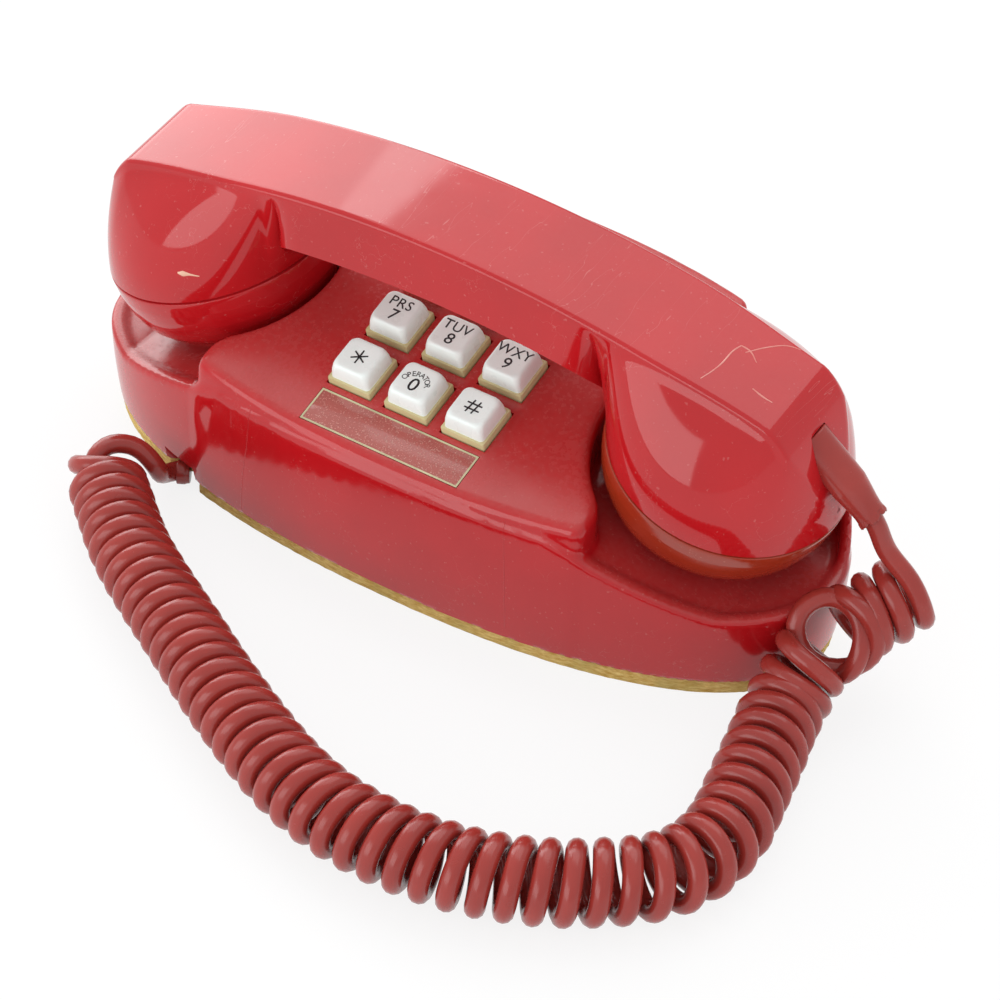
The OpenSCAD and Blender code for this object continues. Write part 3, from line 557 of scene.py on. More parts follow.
base = {
    "halfLength": 108.9, "halfWidth": 44.7, "power": 2.26, "lean": 0.135, "bulge": 0.0028,
    "leanStop": 45.0, "wall": 2.6, "padHeight": 4.3, "plateTop": 5.5, "fillet": 2.4, "crease": 1.0,
    # the mound with the keys
    "keyZ": 53.1, "keyFront": 24.3, "tilt": 15.6, "faceBelow": 2.0, "topEdge": 2.6, "moundHalf": 59.5,
    "wellGap": 2.6, "wellEdge": 3.2, "wellCorner": 4.0,
    # the ledge round each well and the rim that climbs to the back
    "rimIn": 37.6, "rimLow": 26.0, "rimLevel": 92.0, "rimBack": 58.0, "rimWidth": 3.0, "rimSide": 1.4,
    "rimEdge": 2.0, "ledgeTop": 41, "climbFrom": 2, "climbRun": 36, "lip": 0.6,
    "sweepGap": 1, "sweepFloor": 42, "sweepEdge": 1.6,
    # the seat under each cap
    "seatR": 20.0, "seatGap": 0.3, "seatDeep": 8.3, "seatIn": 1.3, "seatEdge": 0.8, "seatBore": 17.0,
    "boreDeep": 1.8,
    # screw bosses and their webs
    "bossR": 4, "bossTop": 21, "webHalf": 1, "webFoot": 8, "webIn": 1, "screwR": 1.95, "screwTop": 16,
}
ledgeSlope = (base["rimIn"] - base["rimLow"]) / (base["rimLevel"] - base["moundHalf"])
wellX, wellY = (handsetPlace @ Vector((handset["cupX"], 0, handset["cupZ"])))[:2]
capDown = np.array(cupPlace(1))[:3, 2]
capTop = np.array(cupPlace(1))[:3, 3]
screwSpots = [(97, 0), (-97, 0), (0, 36), (0, -36)]
keyPlace = (Matrix.Translation((0, -base["keyFront"], base["keyZ"]))
            @ Matrix.Rotation(math.radians(base["tilt"]), 4, "X"))


def ovalDistance(x, y, z):    # distance from the leaning oval wall, negative inside
    rise = np.minimum(z, base["leanStop"]) - base["padHeight"]
    lean = rise * (base["lean"] - base["bulge"] * rise)
    a, b, p = base["halfLength"] + lean, base["halfWidth"] + lean, base["power"]
    u, v = np.abs(x) / a + 1e-6, np.abs(y) / b + 1e-6
    size = (u ** p + v ** p) ** (1 / p)
    return (size - 1) * size ** (p - 1) / np.hypot(u ** (p - 1) / a, v ** (p - 1) / b)


def ledgeAt(ax):    # height of the ledge, from the distance along X
    ledge = base["rimLow"] + np.maximum(base["rimLevel"] - ax, 0) * ledgeSlope
    return np.minimum(ledge, base["ledgeTop"])


def housingField(x, y, z):    # signed distance from the moulded shell
    ax, ay = np.abs(x), np.abs(y)
    skin = ovalDistance(x, y, z)
    tilt = math.radians(base["tilt"])
    top = ((z - base["keyZ"]) * math.cos(tilt) - (y + base["keyFront"]) * math.sin(tilt)
           + base["faceBelow"])
    cup = np.hypot(ax - wellX, y - wellY) - handset["cupR"]
    well = softMin(cup - base["wellGap"], base["moundHalf"] - ax, base["wellCorner"])
    mound = softMax(softMax(skin, top, base["topEdge"]), -well, base["wellEdge"])
    ledge = ledgeAt(ax)
    t = np.clip((y - base["climbFrom"]) / base["climbRun"], 0, 1)
    climb = base["rimBack"] - base["rimLow"]
    rim = softMax(ledge, base["rimLow"] + climb * t * t * (3 - 2 * t), base["crease"])
    steep = np.sqrt(1 + (climb / base["climbRun"] * 6 * t * (1 - t)) ** 2)
    floor = softMax(skin, (z - ledge + base["lip"]) / math.hypot(1, ledgeSlope), base["crease"])
    ring = softMax(skin, -skin - base["rimWidth"], base["rimSide"])
    ring = softMax(ring, (z - rim) / steep, base["rimEdge"])
    shell = softMin(mound, softMin(floor, ring, base["fillet"]), base["fillet"])
    sweep = np.maximum(cup - base["sweepGap"], base["sweepFloor"] - z)
    shell = softMax(shell, -sweep, base["sweepEdge"])
    out = [ax - capTop[0], y - capTop[1], z - capTop[2]]
    along = sum(o * d for o, d in zip(out, capDown))
    off = np.sqrt(np.maximum(sum(o * o for o in out) - along * along, 0))
    seat = softMax(off - base["seatR"], handset["capDepth"] + base["seatGap"] - along, base["seatEdge"])
    seat = softMax(seat, skin + base["seatIn"], base["seatEdge"])
    seat = np.maximum(seat, along - handset["capDepth"] - base["seatDeep"])
    bore = softMax(off - base["seatBore"], along - handset["capDepth"] - base["boreDeep"],
                   base["seatEdge"])
    shell = softMax(softMin(shell, seat, base["crease"]), -bore, base["seatEdge"])
    shell = np.maximum(shell, -shell - base["wall"])
    for sx, sy in screwSpots[::2]:
        off = np.hypot(ax - sx, ay - sy)
        boss = np.maximum(np.maximum(off - base["bossR"], base["plateTop"] - z), z - base["bossTop"])
        web = np.maximum((ay if sx else ax) - base["webHalf"], base["webFoot"] - z)
        web = np.maximum(web, z - base["bossTop"])
        far, reach = (ax, sx) if sx else (ay, sy)
        web = np.maximum(np.maximum(web, reach - far), skin + base["webIn"])
        shell = np.minimum(shell, np.minimum(boss, web))
        shell = np.maximum(shell, -np.maximum(off - base["screwR"], z - base["screwTop"]))
    return np.maximum(shell, base["padHeight"] - z)


net = {
    "low": (-113.3, -48.9, 2.9), "high": (113.3, 48.9, 74.5), "step": 1.15,
    "pulls": 4, "reach": 0.02, "leastSlope": 0.2, "mostMove": 0.5, "sharp": 42,
}


def netSurface(field, low, high, step):    # a closed mesh where the field is zero
    axes = [np.arange(a, b + step, step) for a, b in zip(low, high)]
    grid = np.meshgrid(*axes, indexing="ij")
    values = field(*grid)
    inside = values < 0
    corners = [(i, j, k) for i in (0, 1) for j in (0, 1) for k in (0, 1)]
    size = np.array(values.shape) - 1

    def corner(array, c):
        return array[tuple(slice(o, o + n) for o, n in zip(c, size))]

    count = sum(corner(inside, c).astype(np.int8) for c in corners)
    cells = np.argwhere((count > 0) & (count < 8))
    total = np.zeros((len(cells), 3))
    hits = np.zeros(len(cells))
    for a in corners:
        for axis in range(3):
            if a[axis]:
                continue
            b = tuple(1 if i == axis else v for i, v in enumerate(a))
            fa = values[tuple((cells + a).T)]
            fb = values[tuple((cells + b).T)]
            cross = (fa < 0) != (fb < 0)
            t = np.where(cross, fa / np.where(cross, fa - fb, 1), 0)
            spot = cells + np.array(a) + t[:, None] * (np.array(b) - np.array(a))
            total += np.where(cross[:, None], spot, 0)
            hits += cross
    points = total / hits[:, None] * step + np.array(low)
    index = np.full(size, -1)
    index[tuple(cells.T)] = np.arange(len(cells))
    faces = []
    for axis in range(3):
        b, c = (axis + 1) % 3, (axis + 2) % 3
        shift = [slice(None)] * 3
        shift[axis] = slice(1, None)
        back = [slice(None)] * 3
        back[axis] = slice(None, -1)
        here, ahead = inside[tuple(back)], inside[tuple(shift)]
        edges = np.argwhere(here != ahead)
        edges = edges[(edges[:, b] > 0) & (edges[:, c] > 0)]
        up = here[tuple(edges.T)]
        quad = []
        for ob, oc in ((1, 1), (0, 1), (0, 0), (1, 0)):
            cell = edges.copy()
            cell[:, b] -= ob
            cell[:, c] -= oc
            quad.append(index[tuple(cell.T)])
        quad = np.stack(quad, 1)
        quad[~up] = quad[~up][:, ::-1]
        faces.append(quad)
    reach = net["reach"]
    for _ in range(net["pulls"]):    # pull the points onto the surface
        value = field(*points.T)
        slope = np.stack([field(*(points + reach * np.eye(3)[i]).T) - value for i in range(3)], 1) / reach
        move = -slope * (value / np.maximum((slope * slope).sum(1), net["leastSlope"]))[:, None]
        most = net["mostMove"] * step / np.maximum(lengthOf(move), 1e-9)
        points = points + move * np.minimum(1, most)[:, None]
    return points, np.vstack(faces)


points, faces = netSurface(housingField, net["low"], net["high"], net["step"])
housing = makeMesh("housingShell", points, faces, net["sharp"])
print(f"housing net has {len(faces)} faces")

keypad = {
    "pitch": 17.46, "skirt": 13.1, "gap": 0.4, "capFoot": 11.9, "capTop": 10.2, "capHeight": 4.8,
    "skirtHeight": 6.2, "flange": 15.8, "flangeThick": 1.2, "stem": 4.0, "stemEnd": -15.0,
    "holeDeep": 14, "holeMid": -2, "windowLength": 48.0, "windowWidth": 10.7, "windowV": -14.2,
    "windowThick": 0.9, "windowBevel": 0.12, "cardThick": 0.3, "slotHigh": 4,
    "stripWide": 0.5, "stripThick": 0.12, "stripProud": 0.02,
}
openings = {
    "inlet": (-67, -38, 3.4), "inletTurn": -150, "inletCut": ((20, 9, 9), (2, 0, 0.5)),
    "padCut": ((20, 9, 12), (2, 0, 1)), "plungers": [(-72, 12), (72, 12)], "plungerHole": (4.05, 5, 65),
    "line": (34, 30, 11.5), "lineHole": (4.5, 0, 20),
}
keyNames = ["1", "2", "3", "4", "5", "6", "7", "8", "9", "star", "0", "hash"]
keySpots = [((i % 3 - 1) * keypad["pitch"], (3 - i // 3) * keypad["pitch"]) for i in range(12)]
inletPlace = (Matrix.Translation(openings["inlet"])
              @ Matrix.Rotation(math.radians(openings["inletTurn"]), 4, "Z"))
linePlace = Matrix.Translation(openings["line"]) @ Matrix.Rotation(math.radians(-90), 4, "X")

hole = keypad["skirt"] + 2 * keypad["gap"]
cuts = [boxAt((hole, hole, keypad["holeDeep"]), (u, v, keypad["holeMid"]), keyPlace) for u, v in keySpots]
slotMid = keypad["slotHigh"] / 2 - base["faceBelow"] - (keypad["windowThick"] + keypad["cardThick"])
slotSize = (keypad["windowLength"] + keypad["gap"], keypad["windowWidth"] + keypad["gap"],
            keypad["slotHigh"])
cuts.append(boxAt(slotSize, (0, keypad["windowV"], slotMid), keyPlace))
cuts.append(boxAt(*openings["inletCut"], inletPlace))
cutters = [merged("keyHoles", cuts)]
cutters += [lathe("plungerHole", rodProfile(*openings["plungerHole"]), Matrix.Translation((x, y, 0)), 32)
            for x, y in openings["plungers"]]
cutters.append(lathe("lineHole", rodProfile(*openings["lineHole"]), linePlace, 32))
cutWith(housing, joinPieces("housingCuts", cutters), net["sharp"])
paint(housing, "shellPlastic")
print(f"housing has {len(housing.data.polygons)} faces")


# fibre pad under the base

pad = {
    "steps": 360, "loose": 0.05, "screwHole": (4.2, -1, 9),
    # height, and how far the edge stands out there
    "rows": [(0, -0.5), (0.3, -0.15), (1.2, 0), (2.2, 0.05), (3.2, 0), (4.0, -0.1), (4.3, -0.4)],
}


def padPiece():
    rng = np.random.default_rng(4)
    angles = np.arange(pad["steps"]) * turn / pad["steps"]
    p = 2 / base["power"]
    cosines, sines = np.cos(angles), np.sin(angles)
    shape = np.stack([np.sign(cosines) * np.abs(cosines) ** p, np.sign(sines) * np.abs(sines) ** p], 1)
    rings = []
    for z, grow in pad["rows"]:
        loose = rng.normal(0, pad["loose"] if 0 < z < base["padHeight"] else 0, pad["steps"])
        size = np.array([base["halfLength"], base["halfWidth"]]) + grow
        rings.append(atHeight(shape * (size + loose[:, None]), z))
    piece = outward(makeMesh("fibrePad", *ringStack(rings)))
    cutWith(piece, merged("inletNotch", [boxAt(*openings["padCut"], inletPlace)]))
    for x, y in screwSpots:
        hole = rodProfile(*pad["screwHole"])
        cutWith(piece, lathe("screwHole", hole, Matrix.Translation((x, y, 0)), 32))
    return paint(piece, "fibre")


fibrePad = padPiece()
print("pad made")


# keys

lettering = {
    "letters": {"2": "ABC", "3": "DEF", "4": "GHI", "5": "JKL", "6": "MNO", "7": "PRS", "8": "TUV",
                "9": "WXY"},
    # size, and height on the key
    "top": (4.2, 2.15), "bottom": (5.1, -1.9), "zero": (5.9, -1.3), "alone": (5.0, 0),
    "arc": {"text": "OPERATOR", "size": 2.15, "radius": 3.6, "from": 68, "step": 19.5},
    "stroke": 0.42, "star": 2.3, "bolder": 0.004, "spacing": 1.06, "thick": 0.06, "proud": 0.045,
}


def roundedSquare(width, radius, steps=6):
    out = []
    for k, (sx, sy) in enumerate(((1, 1), (-1, 1), (-1, -1), (1, -1))):
        for i in range(steps + 1):
            a = (k + i / steps) * turn / 4
            out.append([sx * (width / 2 - radius) + radius * math.cos(a),
                        sy * (width / 2 - radius) + radius * math.sin(a)])
    return np.array(out)


def dish(u, v):    # height of a key's top face
    return keypad["capHeight"] - 0.28 * np.exp(-(np.asarray(u) ** 2 + np.asarray(v) ** 2) / 14)


def keyCap(name, spot):
    foot, top, high = keypad["capFoot"], keypad["capTop"], keypad["capHeight"]
    rows = [(0, foot, 1.2), (0.2, foot, 1.25), (2.4, foot - 0.35, 1.5), (3.7, top + 0.9, 1.9),
            (4.25, top + 0.55, 2.1), (4.6, top + 0.05, 2.2), (high - 0.03, top - 0.6, 2.2)]
    rings = [atHeight(roundedSquare(w, r), h) for h, w, r in rows]
    for share in (0.9, 0.78, 0.62, 0.45, 0.28, 0.12):
        ring = roundedSquare(top - 0.6, 2.2) * share
        rings.append(atHeight(ring, dish(ring[:, 0], ring[:, 1])))
    return keyPiece(name, rings, spot, "whiteKey")


def keySkirt(name, spot):
    skirt, high = keypad["skirt"], keypad["skirtHeight"]
    rows = [(keypad["stemEnd"], keypad["stem"]), (-high, keypad["stem"]), (-high, keypad["flange"]),
            (-high + keypad["flangeThick"], keypad["flange"]), (-high + keypad["flangeThick"], skirt),
            (-0.35, skirt), (-0.1, skirt - 0.2), (0, skirt - 0.7)]
    rings = [atHeight(roundedSquare(w, 0.45, 3), h) for h, w in rows]
    return keyPiece(name, rings, spot, "ivorySkirt")


def keyPiece(name, rings, spot, look):
    points, faces = ringStack(rings)
    points = points + np.array([spot[0], spot[1], 0])
    return paint(outward(makeMesh(name, points, faces, matrix=keyPlace)), look)


def textMesh(body, size):
    curve = bpy.data.curves.new("legend", "FONT")
    curve.body = body
    curve.size = size
    curve.align_x = "CENTER"
    curve.align_y = "CENTER"
    curve.offset = lettering["bolder"] * size
    curve.space_character = lettering["spacing"]
    curve.resolution_u = 3
    obj = addObject("legend", curve)
    mesh = bpy.data.meshes.new_from_object(obj.evaluated_get(bpy.context.evaluated_depsgraph_get()))
    bpy.data.objects.remove(obj)
    return np.array([v.co for v in mesh.vertices]), [list(p.vertices) for p in mesh.polygons]


def strokeLine(a, b):    # a flat bar from a to b
    a, b = np.array(a, float), np.array(b, float)
    side = np.array([-(b - a)[1], (b - a)[0]]) / np.linalg.norm(b - a) * lettering["stroke"] / 2
    return atHeight(np.array([a - side, b - side, b + side, a + side]), 0), [[0, 1, 2, 3]]


def keyLegend(key, spot):
    parts, rows = [], []
    if key == "star":
        for k in range(3):
            a = math.radians(90 + 60 * k)
            end = np.array([math.cos(a), math.sin(a)]) * lettering["star"]
            parts.append(strokeLine(-end, end))
    elif key == "hash":
        for s in (-0.85, 0.85):
            parts += [strokeLine((s - 0.3, -2.1), (s + 0.3, 2.1)), strokeLine((-2.2, s), (2.2, s))]
    elif key in lettering["letters"]:
        rows = [(lettering["letters"][key], "top"), (key, "bottom")]
    else:
        rows = [(key, "zero" if key == "0" else "alone")]
    for text, row in rows:
        size, up = lettering[row]
        p, f = textMesh(text, size)
        parts.append((p + np.array([0, up, 0]), f))
    if key == "0":
        arc, up = lettering["arc"], lettering["zero"][1]
        for k, letter in enumerate(arc["text"]):
            a = math.radians(arc["from"] - k * arc["step"])
            p, f = textMesh(letter, arc["size"])
            spin = np.array([[math.cos(a), -math.sin(a)], [math.sin(a), math.cos(a)]])
            p[:, :2] = (p[:, :2] + np.array([0, arc["radius"]])) @ spin.T + np.array([0, up])
            parts.append((p, f))
    raised = [(atHeight(p[:, :2], dish(p[:, 0], p[:, 1]) + lettering["proud"])
               + np.array([spot[0], spot[1], 0]), f) for p, f in parts]
    mesh = merged("legend" + key.capitalize(), raised)
    mesh.data.transform(inMetres(keyPlace))
    return paint(modified(mesh, "SOLIDIFY", thickness=lettering["thick"] * mm, offset=-1), "legend")


keyPieces = []
for key, spot in zip(keyNames, keySpots):
    title = key.capitalize()
    keyPieces.append((key, keyCap("keyCap" + title, spot), keySkirt("keySkirt" + title, spot),
                      keyLegend(key, spot)))
print("keys made")


# window over the number card

def windowPiece():
    length, width, thick = (keypad[k] for k in ("windowLength", "windowWidth", "windowThick"))
    face, strip = -base["faceBelow"], keypad["stripWide"]
    centre = (0, keypad["windowV"], face - thick / 2)
    plate = merged("cardWindow", [boxAt((length, width, thick), centre, keyPlace)])
    paint(modified(plate, "BEVEL", width=keypad["windowBevel"] * mm, segments=2), "acrylic")
    parts = []
    across = width - 2 * strip
    for sx, sy, dx, dy in ((0, 1, length, strip), (0, -1, length, strip), (1, 0, strip, across),
                           (-1, 0, strip, across)):
        centre = (sx * (length - strip) / 2, keypad["windowV"] + sy * (width - strip) / 2,
                  face + keypad["stripProud"])
        parts.append(boxAt((dx, dy, keypad["stripThick"]), centre, keyPlace))
    return plate, paint(merged("windowEdge", parts), "acrylicEdge")


cardWindow, windowEdge = windowPiece()
print("card window made")


# handset: a loft along X, with a flat top facet, an arched underside and a round cup at each end

def bowZ(x):
    return handset["top"] - handset["bow"] + math.sqrt(handset["bow"] ** 2 - x * x)


cupTan = math.tan(math.radians(handset["cupTilt"]))
cupCos = math.cos(math.radians(handset["cupTilt"]))
endLow = handset["cupZ"] - handset["cupR"] * math.sin(math.radians(handset["cupTilt"]))
endX = handset["cupX"] + handset["cupR"] * cupCos + handset["cupEdge"]


def topZ(x):
    if x <= handset["facetEnd"]:
        return bowZ(x)
    q = min(1, (x - handset["facetEnd"]) / (endX - handset["facetEnd"]))
    return endLow + (bowZ(handset["facetEnd"]) - endLow) * (1 - q ** 1.5) ** 0.6


def handleRing(x, half, top, foot, footHalf, drop, power, soft):    # one section across the handle
    line = [(half - soft - k, top) for k in (0.9, 0.4)]
    line += [(half - soft + soft * math.sin(a), top - soft + soft * math.cos(a))
             for a in np.linspace(0, turn / 4, 6)]
    for s in np.linspace(0.94, 0, 14):
        line.append((half + (footHalf - half) * (1 - s ** power), foot + (top - soft - foot) * s))
    for share in (0.985, 0.95, 0.86, 0.7, 0.5, 0.25):
        line.append((footHalf * share, foot - drop * (1 - share ** 2.6)))
    right = [(x, w, z) for w, z in line]
    left = [(x, -w, z) for w, z in reversed(line)]
    return right + [(x, 0, foot - drop)] + left + [(x, 0, top)]


def gripRing(x, k):    # k drops the underside from the grip (0) to a cup (1)
    top = bowZ(abs(x))
    foot = top - handset["sideHeight"] - k * handset["archDrop"]
    half = handset["facetHalf"]
    footHalf = half * (1 - handset["archIn"] * k) + handset["flare"] * (1 - k)
    return handleRing(x, half, top, foot, footHalf, handset["belly"] * (1 - k), 1, handset["edge"])


def cupRing(angle):
    a = math.radians(angle)
    x = handset["cupX"] - handset["cupR"] * cupCos * math.cos(a)
    chord = handset["cupR"] * math.sin(a)
    foot = handset["cupZ"] - (x - handset["cupX"]) * cupTan
    narrow = float(smoothStep((x - handset["narrowFrom"]) / handset["narrowRun"]))
    most = handset["facetHalf"] - handset["narrowing"] * narrow
    half = most if x < handset["cupX"] else min(most, max(handset["edge"] + 0.2, chord * 0.68))
    top = max(topZ(x), foot + handset["edge"] + 0.6)
    power = 0.45 if chord < half else 2
    soft = min(handset["edge"], half - 0.1)
    return handleRing(x, half, top, foot, chord, 0, power, soft)


handle = {
    "grip": np.arange(0, 43, 3.5),
    # place along X, and the share of the way from the grip to a cup
    "arch": [(44.6, 0.08), (45.4, 0.16), (46, 0.25), (46.6, 0.38), (47, 0.5), (47.35, 0.67),
             (47.6, 0.85)],
    "cups": np.concatenate([np.arange(2.5, 20, 2.5), np.arange(20, 160, 3), np.arange(160, 178.6, 2)]),
    "hollow": [(0, -25), (13, -25), (29, -4.5), (29, 4), (0, 4)], "bootHole": (4.95, -5.4, 11),
    "sharp": 40,
}


def handlePiece():
    side = [gripRing(x, 0) for x in handle["grip"]] + [gripRing(x, k) for x, k in handle["arch"]]
    side += [cupRing(a) for a in handle["cups"]]
    mirrored = [[(-x, y, z) for x, y, z in ring] for ring in side[:0:-1]]
    points, faces = ringStack(mirrored + side)
    piece = outward(makeMesh("handsetHandle", points, faces, matrix=handsetPlace))
    hollows = [lathe("cupHollow", handle["hollow"], cupPlace(s)) for s in (-1, 1)]
    hollows.append(lathe("bootHole", rodProfile(*handle["bootHole"]), bootPlace, 48))
    cutWith(piece, joinPieces("handleHollows", hollows), handle["sharp"])
    return paint(piece, "redPlastic")


handsetHandle = handlePiece()
print(f"handle has {len(handsetHandle.data.polygons)} faces")


# caps: lathed shells whose sound holes come from one node tree

caps = {
    "receiver": {"side": -1, "rings": [(1, 0.0, 1.0), (6, 5.0, 1.0)], "finish": "redPlastic"},
    "transmitter": {"side": 1, "rings": [(6, 4.2, 1.1), (12, 9.0, 1.1)], "finish": "orangePlastic"},
    "profile": [(26.4, -4), (28.7, -4), (28.7, -0.3), (31.3, -0.05), (31.3, 0.55), (32.2, 0.75),
                (32.1, 2.4), (31.9, 5), (31.45, 7.6), (30.9, 10), (30.0, 12.6), (28.9, 15),
                (27.4, 16.9), (25.6, 18.5), (23.6, 19.9), (21.1, 20.8), (19, 21), (0, 21)],
    "inside": [(0, 18.4), (20.6, 18.4), (24.1, 15.5), (27.1, 10), (26.4, 5), (26.4, -4)],
    "drillAt": 20, "drill": 8, "sharp": 36,
}


def holeTree():    # rods on a ring of points, to cut sound holes with
    tree = bpy.data.node_groups.new("soundHoles", "GeometryNodeTree")
    for name, kind, value in (
            ("Count", "Int", 6), ("Ring Radius", "Float", 0.005), ("Hole Radius", "Float", 0.001),
            ("Depth", "Float", 0.008), ("Material", "Material", None)):
        socket = tree.interface.new_socket(name, in_out="INPUT", socket_type="NodeSocket" + kind)
        if value is not None:
            socket.default_value = value
    tree.interface.new_socket("Geometry", in_out="OUTPUT", socket_type="NodeSocketGeometry")
    given = addNode(tree, "NodeGroupInput").outputs
    ring = addNode(tree, "GeometryNodeMeshCircle", {
        "Vertices": given["Count"], "Radius": given["Ring Radius"]})
    rod = addNode(tree, "GeometryNodeMeshCylinder", {
        "Vertices": 20, "Radius": given["Hole Radius"], "Depth": given["Depth"]})
    rods = addNode(tree, "GeometryNodeInstanceOnPoints", {"Points": ring, "Instance": rod})
    solid = addNode(tree, "GeometryNodeRealizeInstances", {"Geometry": rods})
    painted = addNode(tree, "GeometryNodeSetMaterial", {"Geometry": solid, "Material": given["Material"]})
    addNode(tree, "NodeGroupOutput", {"Geometry": painted})
    return tree


def fromTree(name, tree, values):    # the plain mesh that a node tree gives
    obj = addObject(name, bpy.data.meshes.new(name))
    modifier = obj.modifiers.new("tree", "NODES")
    modifier.node_group = tree
    for item in tree.interface.items_tree:
        if item.in_out == "INPUT" and item.name in values:
            modifier[item.identifier] = values[item.name]
    return applyModifiers(obj)


def capPiece(name, look, tree):
    cap = lathe(name, roundedProfile(caps["profile"], 0.25, 3).tolist() + caps["inside"],
                cupPlace(look["side"]), 128)
    rods, long = [], caps["drill"]
    for count, ring, hole in look["rings"]:
        if count == 1:
            rods.append(lathe("centreHole", rodProfile(hole, -long / 2, long / 2), steps=20))
        else:
            rods.append(fromTree("holeRing", tree, {
                "Count": count, "Ring Radius": ring * mm, "Hole Radius": hole * mm, "Depth": long * mm,
                "Material": finish[look["finish"]]}))
    rods = joinPieces("capHoles", rods)
    rods.data.transform(inMetres(cupPlace(look["side"]) @ Matrix.Translation((0, 0, caps["drillAt"]))))
    cutWith(cap, outward(rods), caps["sharp"])
    return paint(cap, look["finish"])


soundHoles = holeTree()
receiverCap = capPiece("receiverCap", caps["receiver"], soundHoles)
transmitterCap = capPiece("transmitterCap", caps["transmitter"], soundHoles)
print("caps made")


# strain relief where the cord leaves the handset

boot = {
    "profile": [(0, -5.2), (4.9, -5.2), (4.9, 11), (4.65, 12.6), (4.3, 15), (4.0, 17), (3.85, 18.8),
                (3.85, 19.8), (3.9, 21.2), (3.4, 21.6), (3.15, 20.8), (3.0, 18.2), (2.62, 18), (0, 18)],
    "tear": 0.3, "tearAbove": 19.8, "tearOutside": 3.2, "sharp": 50,
}


def bootPiece():
    piece = lathe("cordBoot", roundedProfile(boot["profile"], 0.5, 4), bootPlace, 72)
    rng = np.random.default_rng(11)
    place = inMetres(bootPlace)
    back = place.inverted()
    for vertex in piece.data.vertices:    # a torn edge on the collar, and the droop of the whole boot
        p = back @ vertex.co
        if p.z > boot["tearAbove"] * mm and math.hypot(p.x, p.y) > boot["tearOutside"] * mm:
            a = math.atan2(p.y, p.x)
            ragged = math.sin(5 * a + 1) + 0.6 * math.sin(11 * a) + rng.normal(0, 0.25)
            push = boot["tear"] * mm * ragged
            p += Vector((p.x, p.y, 0)).normalized() * push * 0.6 + Vector((0, 0, push))
        vertex.co = place @ p + Vector(bootDroop(p.z / mm)) * mm
    finishMesh(piece.data, boot["sharp"])
    return paint(piece, "cordVinyl")


cordBoot = bootPiece()
print("boot made")


# collar where the cord enters the housing

grommet = [(0, -1), (3.3, -1), (3.3, 1.2), (3.05, 1.7), (2.95, 2.6), (0, 2.6)]    # radius, height
cordGrommet = paint(lathe("cordGrommet", roundedProfile(grommet, 0.3, 3),
                          inletPlace @ Matrix.Rotation(math.radians(-90), 4, "Y"), 40), "cordVinyl")


# wear on the handset, and the seam lines on the front wall

marks = {    # points along each bead, radii along it, and how far it is sunk
    "paintDrop": ([(-70.6, -32, 65.2), (-69.3, -31.9, 65.3), (-67.5, -31.4, 65.5), (-64.6, -30.4, 65.5)],
                  [0.5, 1.25, 1.2, 0.5, 0.35, 0.25], 0.75),
    "scuffs": [
        ([(76.3, -17, 88.4), (77.3, -12.9, 88.6), (77.8, -9.1, 88.9), (77.9, -4.6, 89.5),
          (78.6, -1.5, 89.6)], [0.15, 0.2, 0.26, 0.2], 0.55),
        ([(78.6, -1.5, 89.6), (81.2, -1.4, 88.9), (84, -3.2, 87.9)], [0.24, 0.28, 0.15], 0.55),
        ([(80.4, -2.6, 89), (83.3, 2.2, 88.8), (86.6, 6.3, 88.3), (89.9, 8.1, 87.4)],
         [0.16, 0.2, 0.15], 0.6),
        ([(87.2, -10.4, 86.1), (90.2, -10.6, 85.1), (92.8, -10.3, 84.3)], [0.2, 0.3, 0.16], 0.55)],
    "seams": [
        ([(-38.5, -44.5, 43), (-39.1, -44.9, 32.4), (-41, -44.1, 19.1), (-42.9, -43.2, 6.1)],
         [0.22, 0.22], 0.6),
        ([(39.4, -44.3, 43.6), (40.4, -44.7, 31.6), (40.8, -44, 17.8), (40.9, -43.7, 8)],
         [0.2, 0.2], 0.6)],
}


def surfaceMark(name, host, points, widths, depth):    # a thin bead laid along a surface
    line, run = smoothLine(points, 0.7)
    radius = np.interp(run / run[-1], np.linspace(0, 1, len(widths)), widths)
    for i, r in enumerate(radius):
        near, normal = host.closest_point_on_mesh(Vector(line[i]) * mm)[1:3]
        line[i] = np.array(near) / mm - np.array(normal) * r * depth
    return outward(makeMesh(name, *ringStack(tubeRings(line, radius, 10))))


def markSet(name, host, rows, look):
    return paint(joinPieces(name, [surfaceMark("mark", host, *row) for row in rows]), look)


paintDrop = paint(surfaceMark("paintDrop", handsetHandle, *marks["paintDrop"]), "creamPaint")
scuffs = markSet("handsetScuffs", handsetHandle, marks["scuffs"], "scuffedPlastic")
seams = markSet("shellSeams", housing, marks["seams"], "shellPlastic")
print("wear made")


# plungers in the cradle

plunger = {
    "gap": 1.4, "under": 1.2, "below": 8.5, "pinEnd": 17.2, "pinR": 0.9, "flangeR": 5.4,
    "flangeThick": 1.8, "stemR": 4,
}


